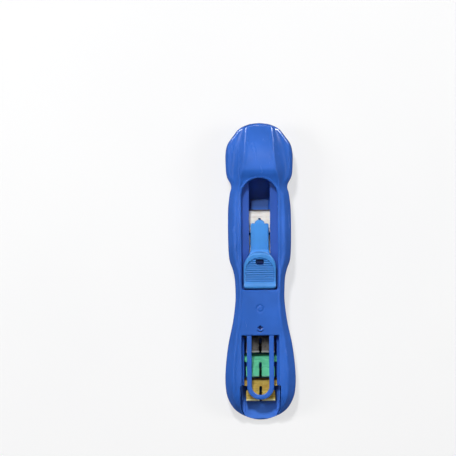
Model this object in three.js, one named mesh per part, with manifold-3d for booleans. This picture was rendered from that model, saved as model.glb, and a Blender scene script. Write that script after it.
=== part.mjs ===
// Hand-held dispenser that pushes folded sheet-metal clips onto a stack of paper.
// Millimetres. +Y points to the nose, where the paper goes in and the clips come out, and +Z is up.
// The origin is the middle of the flat underside.

import * as THREE from 'three';
import { mergeVertices } from 'three/addons/utils/BufferGeometryUtils.js';
import Module from 'manifold-3d';

const wasm = await Module();
wasm.setup();

// Clearances
const GAP = 0.3; // between pieces that seat on each other or slide
const SLOT_GAP = 0.25; // each side of a tooth in a clip's slot
const PAST = 4; // how far a cutter runs past the face that it cuts

// Clip, folded from one strip, with its closed spine to the rear and its mouth to the nose
const CLIP_LENGTH = 9.9;
const CLIP_HEIGHT = 4.8;
const CLIP_BODY_WIDTH = 12.7;
const CLIP_NECK_WIDTH = 11.2;
const CLIP_EAR_WIDTH = 14.6;
const CLIP_EAR_LENGTH = 3.5;
const CLIP_NECK_LENGTH = 1.9; // of the notch in each side, behind the ears
const CLIP_NECK_CORNER = 0.25;
const CLIP_SHEET = 0.35;
const CLIP_MOUTH_GAP = 0.4;
const CLIP_LIP_LENGTH = 1.25;
const CLIP_LIP_RISE = 0.75;
const CLIP_SLOT_WIDTH = 1.0;
const CLIP_SLOT_LENGTH = 5.85;
const CLIP_BEND = 0.6; // corner of the fold at the spine

// Outline seen from above
const LENGTH = 126;
const HEAD_HALF = 14.25;
const NOTCH_SPARE = 1.95; // side wall left at the notch beyond the track's housing
const BODY_HALF = 13.3;
const WAIST_SPARE = 0.45; // room beside the track at the waist
const BULB_HALF = 14.9;
const HOOD_LENGTH = 23.4; // nose tip to the top of the arch
const NOTCH_BEHIND_ARCH = 4.3;
const RECESS_LENGTH = 47.3; // arch to the rear end of the thumb recess
const COVERED_LENGTH = 19.3; // closed top between the recess and the rear window
const TAIL_NARROW_LENGTH = 8.5; // where the rear opening draws in

// Walls
const BOTTOM_WALL = 1.5;
const SHELL_WALL = 1.2;
const SHELL_TOP = 1.3;
const SKIRT = 1.2; // walls that hang round the recess and beside the rear opening
const CHANNEL_FLOOR = 1.5;
const CHANNEL_WALL = 0.6;
const TRACK_THICKNESS = 1.1;
const RETAINER_THICKNESS = 1.1;
const TRACK_OVERLAP = 0.84; // how far the track reaches under the recess's skirt
const LEDGE_CLEAR = 0.3; // between a ledge and the clip's body

// Nose
const SLIT_HEIGHT = 4.3;
const RAIL_THICKNESS = 0.7;
const RAIL_TIP = 0.2;
const RAIL_LENGTH = 25.2;
const RAMP_LENGTH = 7.2;
const CLIP_TO_STOP = 8.9; // from the front clip's mouth to the end of the paper slit
const FLOOR_TONGUE_HALF = 3.7;
const FLOOR_TONGUE_LENGTH = 4.2;
const FLOOR_TONGUE_DROP = 0.8;

// Slider
const STROKE = 28.5;
const SLOT_HALF = 4.45;
const PAD_SIDE_GAP = 0.86;
const PAD_REAR_GAP = 0.5;
const PAD_LENGTH = 15.7;
const PAD_CORNER = 1.3;
const PAD_FRONT_HEIGHT = 4.1;
const PAD_DIP_HEIGHT = 2.3;
const PAD_REAR_HEIGHT = 3.8;
const PAD_RIM = 0.65;
const PAD_RIM_HEIGHT = 0.45;
const PAD_BAND = 2.9;
const PAD_FRONT_LAND = 2.5;
const RIB_COUNT = 11;
const RIB_HEIGHT = 0.25;
const HOLE_HALF = 1.57;
const HOLE_LENGTH = 2.2;
const HOLE_BEHIND_FRONT = 3.4;
const HOOK_LEDGE = 0.6;
const HOOK_LEDGE_HEIGHT = 1.1;
const HOOK_HEAD = 0.8;
const ARM_HALF = 3.83;
const ARM_THICKNESS = 1.3;
const NIB_HALF = 2.1;
const NIB_LENGTH = 1.6;
const TOOTH_DEPTH = 3.2;
const TOOTH_LENGTH = 1.3;
const ARM_LIFT_DEG = 8;
const ARM_BEHIND_PAD_FRONT = 1.3; // the arm's root lies under the pad's rounded front

// Rear window and tongue
const WINDOW_HALF = 3.68;
const TONGUE_HALF = 5.75;
const TONGUE_THICKNESS = 1.4;
const TONGUE_SLOPE = 1.5; // the tongue's end lies this much lower than its root
const TONGUE_TOOTH_DEPTH = 1.9;
const TONGUE_TOOTH_LENGTH = 1.2;
const TONGUE_TOOTH_FROM_SPINE = 2.1;
const TONGUE_END_FROM_SPINE = 0.6;
const SIDE_SLOT_LENGTH = 21.5;
const SIDE_SLOT_HALF = 7.95;
const SHELF_HALF = 6.85; // low shelves under the slots' outer edges, over the clips' ears
const SHELF_THICKNESS = 1.2;
const TAIL_OPENING_HALF = 6.6;
const LOADING_SPACE = 7.5;
const REAR_WALL_HEIGHT = 3.3; // tray walls beside the rear clips, above the tray's floor

// Heights of the top
const RIDGE_Z = 14.5;
const HOOD_PEAK_Z = 18.2;
const HOOD_FRONT_Z = 13.2;
const COVER_REAR_Z = 12.9;
const BULB_Z = 12.0;

// Pins that join the shells, and small marks
const PIN_RADIUS = 0.8;
const BOSS_WALL = 0.6;
const PIN_HEIGHT = 7;
const MARK_DEPTH = 0.35;
const RING_OUTER = 1.6;
const RING_INNER = 1.05;
const TAB_THICKNESS = 0.8;
const TAB_HEIGHT = 1.0;
const TAB_REACH = 7.5; // each way from a pin
const RIM_WALL = 1.8;
const POCKET_END = 4; // ahead of the tail, where the lower shell's pocket narrows to the opening
const TAIL_CUT = 2.4; // the side walls end this far ahead of the tail

// Places along Y
const NOSE_Y = LENGTH / 2;
const TAIL_Y = -LENGTH / 2;
const ARCH_Y = NOSE_Y - HOOD_LENGTH;
const NOTCH_Y = ARCH_Y - NOTCH_BEHIND_ARCH;
const RECESS_REAR_Y = ARCH_Y - RECESS_LENGTH;
const WINDOW_Y = RECESS_REAR_Y - COVERED_LENGTH;
const MOUTH_Y = NOTCH_Y - CLIP_TO_STOP;
const SPINE_Y = MOUTH_Y - CLIP_LENGTH;
const CLIP_PITCH = CLIP_LENGTH + GAP;
const CLIP_COUNT = 1 + Math.floor((SPINE_Y - TAIL_Y - LOADING_SPACE) / CLIP_PITCH);
const LAST_SPINE_Y = SPINE_Y - (CLIP_COUNT - 1) * CLIP_PITCH;
const CHANNEL_FRONT_Y = MOUTH_Y + GAP / 3;
const RAIL_REAR_Y = CHANNEL_FRONT_Y + GAP;
const RAIL_FRONT_Y = RAIL_REAR_Y + RAIL_LENGTH;
const PAD_REAR_Y = RECESS_REAR_Y + PAD_REAR_GAP;
const PAD_FRONT_Y = PAD_REAR_Y + PAD_LENGTH;
const ARM_ROOT_Y = PAD_FRONT_Y - ARM_BEHIND_PAD_FRONT;
const ARM_TIP_Y = SPINE_Y + CLIP_SLOT_LENGTH - GAP;
const TRACK_FRONT_Y = ARCH_Y + 1.4;
const TRACK_REAR_Y = WINDOW_Y;
const TAIL_NARROW_Y = TAIL_Y + TAIL_NARROW_LENGTH;

// Half-widths of the nested pieces
const EAR_HALF = CLIP_EAR_WIDTH / 2;
const CHANNEL_INNER = EAR_HALF + GAP;
const CHANNEL_OUTER = CHANNEL_INNER + CHANNEL_WALL;
const LEDGE_INNER = CLIP_BODY_WIDTH / 2 + LEDGE_CLEAR;
const TRACK_HALF = CHANNEL_OUTER + GAP;
const RECESS_HALF = TRACK_HALF - TRACK_OVERLAP;
const PAD_HALF = RECESS_HALF - PAD_SIDE_GAP;
const NOSE_CHANNEL_HALF = CHANNEL_OUTER + GAP;
const REAR_OPENING_HALF = CHANNEL_OUTER + GAP + 0.05;
const WAIST_HALF = TRACK_HALF + GAP + SHELL_WALL + WAIST_SPARE;
const NOTCH_HALF = TRACK_HALF + GAP + SHELL_WALL + NOTCH_SPARE;

// Levels
const CHANNEL_Z = BOTTOM_WALL + GAP;
const FLOOR_Z = CHANNEL_Z + CHANNEL_FLOOR;
const CLIP_Z = FLOOR_Z + GAP;
const MID_Z = CLIP_Z + CLIP_HEIGHT / 2;
const CLIP_TOP_Z = CLIP_Z + CLIP_HEIGHT;
const RETAINER_Z = CLIP_TOP_Z + GAP;
const TRACK_Z = RETAINER_Z + RETAINER_THICKNESS + GAP;
const TRACK_TOP_Z = TRACK_Z + TRACK_THICKNESS;
const PAD_Z = TRACK_TOP_Z + GAP;
const SLIT_LOW_Z = MID_Z - SLIT_HEIGHT / 2;
const SLIT_HIGH_Z = MID_Z + SLIT_HEIGHT / 2;
const TOP_SHELL_Z = SLIT_LOW_Z + GAP;
const LEDGE_Z = MID_Z - CLIP_MOUTH_GAP / 2 - CLIP_SHEET - CLIP_LIP_RISE - GAP;
const ABOVE_ALL = HOOD_PEAK_Z + PAST;

const colours = {
  shell: new THREE.Color(0x3f6cc4),
  tray: new THREE.Color(0x42609f),
  track: new THREE.Color(0x4160ad),
  slider: new THREE.Color(0x4b90d6),
  rail: new THREE.Color(0x3a62b4),
  silver: new THREE.Color(0xc9c8c4),
  green: new THREE.Color(0x5ac394),
  gold: new THREE.Color(0xc09a35),
};

function plastic(colour) {
  return new THREE.MeshStandardMaterial({ color: colour, roughness: 0.35, metalness: 0 });
}

function metal(colour) {
  return new THREE.MeshStandardMaterial({ color: colour, roughness: 0.3, metalness: 0.9 });
}

// Solids and meshes

function signedVolume(position, index) {
  const [a, b, c] = [new THREE.Vector3(), new THREE.Vector3(), new THREE.Vector3()];
  let sum = 0;
  for (let i = 0; i < index.count; i += 3) {
    a.fromBufferAttribute(position, index.getX(i));
    b.fromBufferAttribute(position, index.getX(i + 1));
    c.fromBufferAttribute(position, index.getX(i + 2));
    sum += a.dot(b.cross(c)) / 6;
  }
  return sum;
}

function solid(geometry) {
  const bare = geometry.clone();
  bare.deleteAttribute('normal');
  bare.deleteAttribute('uv');
  const welded = mergeVertices(bare, 1e-4);
  const triVerts = new Uint32Array(welded.index.array);
  if (signedVolume(welded.attributes.position, welded.index) < 0) {
    triVerts.reverse();
  }
  const vertProperties = new Float32Array(welded.attributes.position.array);
  return new wasm.Manifold(new wasm.Mesh({ numProp: 3, vertProperties, triVerts }));
}

function named(name, body, material) {
  const raw = body.getMesh();
  const geometry = new THREE.BufferGeometry();
  geometry.setAttribute('position', new THREE.Float32BufferAttribute(raw.vertProperties, 3));
  geometry.setIndex(new THREE.BufferAttribute(raw.triVerts, 1));
  geometry.computeVertexNormals();
  const mesh = new THREE.Mesh(geometry, material);
  mesh.name = name;
  return mesh;
}

function polygon(points) {
  return new THREE.Shape(points.map(([u, v]) => new THREE.Vector2(u, v)));
}

const AXIS_X = new THREE.Vector3(1, 0, 0);
const AXIS_Y = new THREE.Vector3(0, 1, 0);
const AXIS_Z = new THREE.Vector3(0, 0, 1);

// An outline seen from above, standing from one level to another
function prism(shape, low, high, curveSegments = 12) {
  const options = { depth: high - low, bevelEnabled: false, curveSegments };
  const geometry = new THREE.ExtrudeGeometry(shape, options);
  return solid(geometry.translate(0, 0, low));
}

// A side view in Y and Z, running across X
function sideways(shape, left, right) {
  const geometry = new THREE.ExtrudeGeometry(shape, { depth: right - left, bevelEnabled: false });
  geometry.applyMatrix4(new THREE.Matrix4().makeBasis(AXIS_Y, AXIS_Z, AXIS_X));
  return solid(geometry.translate(left, 0, 0));
}

// A front view in X and Z, running back from its front end
function lengthways(shape, rear, front) {
  const geometry = new THREE.ExtrudeGeometry(shape, { depth: front - rear, bevelEnabled: false });
  geometry.applyMatrix4(new THREE.Matrix4().makeBasis(AXIS_X, AXIS_Z, AXIS_Y.clone().negate()));
  return solid(geometry.translate(0, front, 0));
}

function box(left, right, rear, front, low, high) {
  const geometry = new THREE.BoxGeometry(right - left, front - rear, high - low);
  return solid(geometry.translate((left + right) / 2, (rear + front) / 2, (low + high) / 2));
}

function post(x, y, low, high, radius, sides = 12) {
  const geometry = new THREE.CylinderGeometry(radius, radius, high - low, sides);
  geometry.rotateY(Math.PI / sides);
  geometry.rotateX(Math.PI / 2);
  return solid(geometry.translate(x, y, (low + high) / 2));
}

// A skin through rings of equal count, closed at both ends by fans from their middles
function loft(rings) {
  const count = rings[0].length;
  const position = rings.flat().flatMap((p) => [p.x, p.y, p.z]);
  const index = [];
  for (let r = 0; r + 1 < rings.length; r += 1) {
    for (let i = 0; i < count; i += 1) {
      const a = r * count + i;
      const b = r * count + ((i + 1) % count);
      index.push(a, b, b + count, a, b + count, a + count);
    }
  }
  const last = (rings.length - 1) * count;
  [[rings[0], 0, true], [rings.at(-1), last, false]].forEach(([ring, first, reversed]) => {
    const centre = new THREE.Box3().setFromPoints(ring).getCenter(new THREE.Vector3());
    const hub = position.push(centre.x, centre.y, centre.z) / 3 - 1;
    for (let i = 0; i < count; i += 1) {
      const [a, b] = [first + i, first + ((i + 1) % count)];
      index.push(...(reversed ? [hub, b, a] : [hub, a, b]));
    }
  });
  const geometry = new THREE.BufferGeometry();
  geometry.setAttribute('position', new THREE.Float32BufferAttribute(position, 3));
  geometry.setIndex(index);
  return solid(geometry);
}

// A smooth line through [place, value] knots that never overshoots between them
function through(knots) {
  const sorted = [...knots].sort((p, q) => p[0] - q[0]);
  const slope = sorted.slice(1).map(([x, v], i) => (v - sorted[i][1]) / (x - sorted[i][0]));
  const tangent = sorted.map((_, i) => {
    const before = slope[i - 1] ?? slope[i];
    const after = slope[i] ?? before;
    return before * after <= 0 ? 0 : (2 * before * after) / (before + after);
  });
  return (x) => {
    const i = Math.min(Math.max(sorted.findIndex(([place]) => place > x) - 1, 0), sorted.length - 2);
    const k = x >= sorted.at(-1)[0] ? sorted.length - 2 : i;
    const span = sorted[k + 1][0] - sorted[k][0];
    const t = Math.min(Math.max((x - sorted[k][0]) / span, 0), 1);
    const [t2, t3] = [t * t, t * t * t];
    return (2 * t3 - 3 * t2 + 1) * sorted[k][1] + (t3 - 2 * t2 + t) * span * tangent[k]
      + (3 * t2 - 2 * t3) * sorted[k + 1][1] + (t3 - t2) * span * tangent[k + 1];
  };
}

// Outline: half-widths at places along Y, nose to tail
const outlineKnots = [
  [NOSE_Y, 0],
  [NOSE_Y - 0.4, 0.29 * HEAD_HALF],
  [NOSE_Y - 2.1, 0.57 * HEAD_HALF],
  [NOSE_Y - 5.5, 0.77 * HEAD_HALF],
  [NOSE_Y - 8.9, 0.935 * HEAD_HALF],
  [NOSE_Y - 12.3, 0.995 * HEAD_HALF],
  [NOSE_Y - 17.5, HEAD_HALF],
  [NOTCH_Y + 5.1, 0.965 * HEAD_HALF],
  [NOTCH_Y + 1.7, NOTCH_HALF + 0.15],
  [NOTCH_Y, NOTCH_HALF],
  [NOTCH_Y - 1.7, NOTCH_HALF + 0.5],
  [NOTCH_Y - 5.1, BODY_HALF - 0.34],
  [NOTCH_Y - 8.5, BODY_HALF],
  [RECESS_REAR_Y + 17.7, BODY_HALF],
  [RECESS_REAR_Y + 12.4, BODY_HALF - 0.5],
  [RECESS_REAR_Y + 9, WAIST_HALF + 1.15],
  [RECESS_REAR_Y + 5.6, WAIST_HALF + 0.35],
  [RECESS_REAR_Y + 0.5, WAIST_HALF],
  [RECESS_REAR_Y - 4.6, WAIST_HALF],
  [WINDOW_Y + 6.1, WAIST_HALF + 1.05],
  [WINDOW_Y - 4.1, BULB_HALF - 1.3],
  [TAIL_Y + 21.7, BULB_HALF - 0.1],
  [TAIL_Y + 14.9, BULB_HALF],
  [TAIL_Y + 9.8, 0.944 * BULB_HALF],
  [TAIL_Y + 4.7, 0.752 * BULB_HALF],
  [TAIL_Y + 1.3, 0.403 * BULB_HALF],
  [TAIL_Y, 0],
];

const outlineCurve = new THREE.CatmullRomCurve3(
  [
    ...outlineKnots.map(([y, half]) => new THREE.Vector3(half, y, 0)),
    ...outlineKnots.slice(1, -1).reverse().map(([y, half]) => new THREE.Vector3(-half, y, 0)),
  ],
  true,
  'centripetal',
);
const OUTLINE_STEPS = 1200;
const outlineSamples = outlineCurve.getPoints(OUTLINE_STEPS)
  .filter((p) => p.x > 0)
  .map((p) => [p.y, p.x])
  .sort((p, q) => p[0] - q[0]);

function halfWidth(y) {
  const i = outlineSamples.findIndex(([place]) => place > y);
  if (i <= 0) {
    return 0;
  }
  const [y0, w0] = outlineSamples[i - 1];
  const [y1, w1] = outlineSamples[i];
  return w0 + ((w1 - w0) * (y - y0)) / (y1 - y0);
}

// Stations along Y: close together at the round ends, and on each knot of the outline
const END_STATIONS = 40;
const LEAST_STEP = 0.7;
const END_STEP = 0.05;
const sineStations = Array.from({ length: END_STATIONS }, (_, i) => {
  return NOSE_Y * Math.sin(Math.PI * ((i + 0.5) / END_STATIONS - 0.5));
});
const stations = [...outlineKnots.slice(1, -1).map(([y]) => y)];
sineStations.forEach((y) => {
  if (stations.every((s) => Math.abs(s - y) > LEAST_STEP)) {
    stations.push(y);
  }
});
stations.push(NOSE_Y - END_STEP, NOSE_Y - 4 * END_STEP, TAIL_Y + END_STEP, TAIL_Y + 6 * END_STEP);
stations.sort((p, q) => p - q);

// The outline as a closed line at one level, drawn in by an inset
function outline(inset, z) {
  const right = stations.map((y) => new THREE.Vector3(halfWidth(y), y, z));
  const left = right.map((p) => new THREE.Vector3(-p.x, p.y, z)).reverse();
  const ring = [new THREE.Vector3(0, TAIL_Y, z), ...right, new THREE.Vector3(0, NOSE_Y, z), ...left];
  return ring.map((p, i) => {
    const before = ring[(i + ring.length - 1) % ring.length];
    const after = ring[(i + 1) % ring.length];
    const normal = new THREE.Vector3(after.y - before.y, before.x - after.x, 0).normalize();
    return p.clone().addScaledVector(normal, -inset);
  });
}

function slab(inset, low, high) {
  return loft([outline(inset, low), outline(inset, high)]);
}

// Top surface of the upper shell, as smooth lines along Y
const CREST_HEAD_HALF = 6.3;
const PEAK_BEHIND = 3.9;
const crestZ = through([
  [NOSE_Y, HOOD_FRONT_Z - 1.9],
  [NOSE_Y - 0.9, HOOD_FRONT_Z - 0.6],
  [NOSE_Y - 2.4, HOOD_FRONT_Z],
  [ARCH_Y + PEAK_BEHIND + 3.5, HOOD_PEAK_Z - 0.5],
  [ARCH_Y + PEAK_BEHIND, HOOD_PEAK_Z],
  [ARCH_Y + PEAK_BEHIND / 2, HOOD_PEAK_Z - 0.6],
  [ARCH_Y, HOOD_PEAK_Z - 1.8],
  [NOTCH_Y + 0.7, RIDGE_Z + 0.5],
  [NOTCH_Y - 3, RIDGE_Z],
  [RECESS_REAR_Y, RIDGE_Z - 0.2],
  [WINDOW_Y, COVER_REAR_Z],
  [TAIL_Y + 18, BULB_Z],
  [TAIL_Y + 11, BULB_Z - 0.7],
  [TAIL_Y + 6, BULB_Z - 3.4],
  [TAIL_Y + 3.5, BULB_Z - 5.9],
  [TAIL_Y + 1.6, TOP_SHELL_Z + 0.9],
  [TAIL_Y, TOP_SHELL_Z + 0.5],
]);
const crestHalf = through([
  [NOSE_Y, 0.6 * CREST_HEAD_HALF],
  [NOSE_Y - 2.4, CREST_HEAD_HALF - 0.6],
  [NOSE_Y - 11.5, CREST_HEAD_HALF],
  [NOSE_Y - 18, CREST_HEAD_HALF + 0.9],
  [ARCH_Y, RECESS_HALF + 0.7],
  [NOTCH_Y, RECESS_HALF + 1.3],
  [NOTCH_Y - 5, RECESS_HALF + 1.8],
  [RECESS_REAR_Y + 17, RECESS_HALF + 1.8],
  [RECESS_REAR_Y + 8, RECESS_HALF + 1.1],
  [RECESS_REAR_Y - 1, RECESS_HALF + 0.3],
  [RECESS_REAR_Y - 12, RECESS_HALF + 0.5],
  [WINDOW_Y - 3, REAR_OPENING_HALF + 1],
  [TAIL_Y + 18, REAR_OPENING_HALF + 2],
  [TAIL_Y + 10, REAR_OPENING_HALF + 1.8],
  [TAIL_Y + 5, REAR_OPENING_HALF + 0.4],
  [TAIL_Y, 4.5],
]);
const edgeZ = through([
  [NOSE_Y, HOOD_FRONT_Z - 3],
  [NOSE_Y - 8, HOOD_FRONT_Z - 2.9],
  [NOSE_Y - 18, HOOD_FRONT_Z - 2.2],
  [NOTCH_Y, RIDGE_Z - 3.6],
  [NOTCH_Y - 6, RIDGE_Z - 4.4],
  [RECESS_REAR_Y, RIDGE_Z - 3.2],
  [WINDOW_Y, COVER_REAR_Z - 3.8],
  [TAIL_Y + 18, BULB_Z - 4],
  [TAIL_Y + 8, BULB_Z - 5.2],
  [TAIL_Y + 3, TOP_SHELL_Z + 0.8],
  [TAIL_Y, TOP_SHELL_Z + 0.3],
]);
// Concave scoops beside the hood, rounded shoulders along the body
const bulge = through([
  [NOSE_Y, 0],
  [NOSE_Y - 4, -0.7],
  [NOSE_Y - 12, -1.3],
  [NOSE_Y - 19, -1.4],
  [NOTCH_Y + 2, -0.3],
  [NOTCH_Y - 3, 0.6],
  [TAIL_Y + 12, 0.9],
  [TAIL_Y + 3, 0.2],
]);
// The fold between the cover's top and its flank: how far inside the edge it runs, and how far above
const foldInset = through([
  [NOSE_Y, 1],
  [NOSE_Y - 8, 1.5],
  [NOTCH_Y + 2, 1.5],
  [NOTCH_Y - 8, 2.2],
  [RECESS_REAR_Y + 17, 2.2],
  [RECESS_REAR_Y, 1.5],
  [WINDOW_Y + 6, 1.6],
  [WINDOW_Y - 10, 2.5],
  [TAIL_Y + 14, 2.7],
  [TAIL_Y + 5, 2.2],
  [TAIL_Y, 1.2],
]);
const foldRise = through([
  [NOSE_Y, 1.2],
  [NOSE_Y - 8, 1.9],
  [NOSE_Y - 18, 1.9],
  [NOTCH_Y, 2.2],
  [NOTCH_Y - 6, 3.3],
  [RECESS_REAR_Y + 17, 3.3],
  [RECESS_REAR_Y, 2.2],
  [WINDOW_Y, 2.6],
  [TAIL_Y + 18, 3.1],
  [TAIL_Y + 8, 2.6],
  [TAIL_Y + 3, 0.9],
  [TAIL_Y, 0.3],
]);
const CREST_LIMIT = 0.86;
const SLOPE_STEPS = 5;

// Right half of the top surface at a place along Y, as [x, z] from the middle to the edge
function topHalf(y) {
  const half = halfWidth(y);
  const fold = Math.max(half - foldInset(y), 0.82 * half);
  const crest = Math.min(crestHalf(y), CREST_LIMIT * fold, Math.max(fold - 0.7, half / 2));
  const high = Math.max(crestZ(y), edgeZ(y) + 0.2);
  const foldZ = Math.min(edgeZ(y) + foldRise(y), high - 0.1);
  const points = [[0, high], [0.6 * crest, high], [crest, high]];
  for (let i = 1; i <= SLOPE_STEPS; i += 1) {
    const t = i / SLOPE_STEPS;
    const lift = 4 * bulge(y) * t * (1 - t);
    points.push([crest + t * (fold - crest), high + t * (foldZ - high) + lift]);
  }
  points.push([half, edgeZ(y)]);
  return points;
}

function topRing(y, low, side, drop) {
  const half = halfWidth(y);
  const shrink = Math.max((half - side) / half, 0.05);
  const right = topHalf(y).map(([x, z]) => [x * shrink, Math.max(z - drop, low + 0.2)]);
  const left = right.slice(1).reverse().map(([x, z]) => [-x, z]);
  const ring = [...left, ...right];
  ring.push([right.at(-1)[0], low], [-right.at(-1)[0], low]);
  return ring.map(([x, z]) => new THREE.Vector3(x, y, z));
}

// Outlines of the openings in the upper shell

function recessShape(grow) {
  const half = RECESS_HALF + grow;
  const rear = RECESS_REAR_Y - grow;
  const corner = PAD_CORNER + grow;
  const centre = ARCH_Y - RECESS_HALF;
  const shape = new THREE.Shape();
  shape.moveTo(-half + corner, rear);
  shape.lineTo(half - corner, rear);
  shape.absarc(half - corner, rear + corner, corner, -Math.PI / 2, 0);
  shape.lineTo(half, centre);
  shape.absarc(0, centre, half, 0, Math.PI);
  shape.lineTo(-half, rear + corner);
  shape.absarc(-half + corner, rear + corner, corner, Math.PI, 1.5 * Math.PI);
  return shape;
}

function mirrored(points) {
  return points.map(([x, y]) => [-x, y]).reverse();
}

// Right-hand side of the rear opening, drawing in towards the tail
function rearSide(grow) {
  const half = REAR_OPENING_HALF + grow;
  const drawn = TAIL_Y + 1.6;
  const start = new THREE.Vector2(TAIL_OPENING_HALF + grow, drawn);
  const middle = new THREE.Vector2(half, drawn + 2);
  const end = new THREE.Vector2(half, TAIL_NARROW_Y);
  return new THREE.QuadraticBezierCurve(start, middle, end).getPoints(8).map((p) => [p.x, p.y]);
}

function rearShape(grow, front = WINDOW_Y) {
  const behind = [TAIL_OPENING_HALF + grow, TAIL_Y - PAST];
  const right = [behind, ...rearSide(grow), [REAR_OPENING_HALF + grow, front]];
  return polygon([...right, ...mirrored(right)]);
}

// Places of the four pins that join the shells, midway between the inner walls and the outer
const BOSS_RADIUS = PIN_RADIUS + GAP + BOSS_WALL;
const PIN_FRONT_Y = ARCH_Y - 17.6;
const PIN_REAR_Y = TAIL_Y + 22;
const pinPlaces = [
  [PIN_FRONT_Y, RECESS_HALF + SKIRT],
  [PIN_REAR_Y, REAR_OPENING_HALF + SKIRT],
].flatMap(([y, inner]) => {
  const x = (inner + halfWidth(y) - SHELL_WALL) / 2;
  return [[-x, y], [x, y]];
});

// Shallow marks on the cover: a ring, a diamond and a chevron that shows the loading end
function marks() {
  const ringY = (RECESS_REAR_Y + WINDOW_Y) / 2 + 1.8;
  const diamondY = WINDOW_Y + 3.3;
  const chevronY = WINDOW_Y + 2.3;
  const floorAt = (y) => crestZ(y) - MARK_DEPTH;
  const ring = post(0, ringY, floorAt(ringY), ABOVE_ALL, RING_OUTER, 20)
    .subtract(post(0, ringY, 0, ABOVE_ALL + 1, RING_INNER, 20));
  const diamond = prism(
    polygon([[-1.2, diamondY], [0, diamondY - 0.85], [1.2, diamondY], [0, diamondY + 0.85]]),
    floorAt(diamondY),
    ABOVE_ALL,
  );
  const chevron = prism(
    polygon([
      [-1.3, chevronY], [-1.3, chevronY - 0.35], [0, chevronY - 1.1],
      [1.3, chevronY - 0.35], [1.3, chevronY], [0, chevronY - 0.75],
    ]),
    floorAt(chevronY),
    ABOVE_ALL,
  );
  return [ring, diamond, chevron];
}

function topShell() {
  const outer = loft(stations.map((y) => topRing(y, TOP_SHELL_Z, 0, 0)));
  const cavityFront = NOTCH_Y - SHELL_WALL;
  const cavityRear = TAIL_Y + SHELL_WALL;
  const between = stations.filter((y) => y > cavityRear + 0.2 && y < cavityFront - 0.2);
  const inside = [cavityRear, ...between, cavityFront];
  const rearWalls = prism(rearShape(SKIRT), TOP_SHELL_Z - PAST, ABOVE_ALL)
    .subtract(prism(rearShape(0, WINDOW_Y + PAST), TOP_SHELL_Z - 2 * PAST, ABOVE_ALL + PAST));
  const skirt = prism(recessShape(SKIRT), PAD_Z, ABOVE_ALL);
  let cavity = loft(inside.map((y) => topRing(y, TOP_SHELL_Z - PAST, SHELL_WALL, SHELL_TOP)))
    .subtract(rearWalls)
    .subtract(skirt);
  pinPlaces.forEach(([x, y]) => {
    cavity = cavity.subtract(post(x, y, TOP_SHELL_Z, ABOVE_ALL, BOSS_RADIUS));
  });

  // Rear opening, with a lip and a low shelf along each of the slots beside the tongue
  const ledgeLevel = CLIP_TOP_Z + GAP;
  const slotRear = WINDOW_Y - SIDE_SLOT_LENGTH;
  const lipSection = polygon([
    [SHELF_HALF, ledgeLevel], [REAR_OPENING_HALF + 1, ledgeLevel], [REAR_OPENING_HALF + 1, ABOVE_ALL + 1],
    [SIDE_SLOT_HALF, ABOVE_ALL + 1], [SIDE_SLOT_HALF, ledgeLevel + SHELF_THICKNESS],
    [SHELF_HALF, ledgeLevel + SHELF_THICKNESS],
  ]);
  const lip = lengthways(lipSection, slotRear, WINDOW_Y + 1);
  const hollow = cavity
    .add(prism(rearShape(0), TOP_SHELL_Z - PAST, ABOVE_ALL))
    .subtract(lip)
    .subtract(lip.mirror([1, 0, 0]));

  let shell = outer.subtract(hollow);
  pinPlaces.forEach(([x, y]) => {
    shell = shell.subtract(post(x, y, TOP_SHELL_Z - PAST, BOTTOM_WALL + PIN_HEIGHT + GAP, PIN_RADIUS + GAP));
  });

  // Thumb recess, paper slit under the hood, the clip's way out, the arm's room and the seat of the track
  const trackSeat = TRACK_HALF + GAP;
  const armRoomFront = ARM_TIP_Y + STROKE + 5 * GAP;
  const armRise = (ARM_TIP_Y - ARM_ROOT_Y) * Math.sin(THREE.MathUtils.degToRad(ARM_LIFT_DEG));
  const armRoomTop = TRACK_TOP_Z + armRise + 3 * GAP;
  shell = shell
    .subtract(prism(recessShape(0), PAD_Z - GAP, ABOVE_ALL, 16))
    .subtract(box(-HEAD_HALF * 2, HEAD_HALF * 2, NOTCH_Y, NOSE_Y + PAST, TOP_SHELL_Z - PAST, SLIT_HIGH_Z))
    .subtract(box(-NOSE_CHANNEL_HALF, NOSE_CHANNEL_HALF, cavityFront - 1, NOSE_Y + PAST, 0, TRACK_Z))
    .subtract(box(-trackSeat, trackSeat, WINDOW_Y - GAP, TRACK_FRONT_Y + GAP, 0, PAD_Z))
    .subtract(box(-SLOT_HALF, SLOT_HALF, cavityFront - 1, armRoomFront, TRACK_Z - 1, armRoomTop));

  marks().forEach((mark) => {
    shell = shell.subtract(mark);
  });
  const tailCut = TAIL_Y + TAIL_CUT;
  return shell.subtract(box(-BULB_HALF, BULB_HALF, TAIL_Y - PAST, tailCut, 0, ABOVE_ALL));
}

// Right-hand side of the drawn-in outline between two places along Y, as [x, y] from rear to front
function sideLine(inset, rear, front) {
  const line = outline(inset, 0).filter((p) => p.x > 0).sort((p, q) => p.y - q.y);
  const at = (y) => {
    const i = line.findIndex((p) => p.y > y);
    const t = (y - line[i - 1].y) / (line[i].y - line[i - 1].y);
    return [THREE.MathUtils.lerp(line[i - 1].x, line[i].x, t), y];
  };
  const between = line.filter((p) => p.y > rear + LEAST_STEP / 2 && p.y < front - LEAST_STEP / 2);
  return [at(rear), ...between.map((p) => [p.x, p.y]), at(front)];
}

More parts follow.
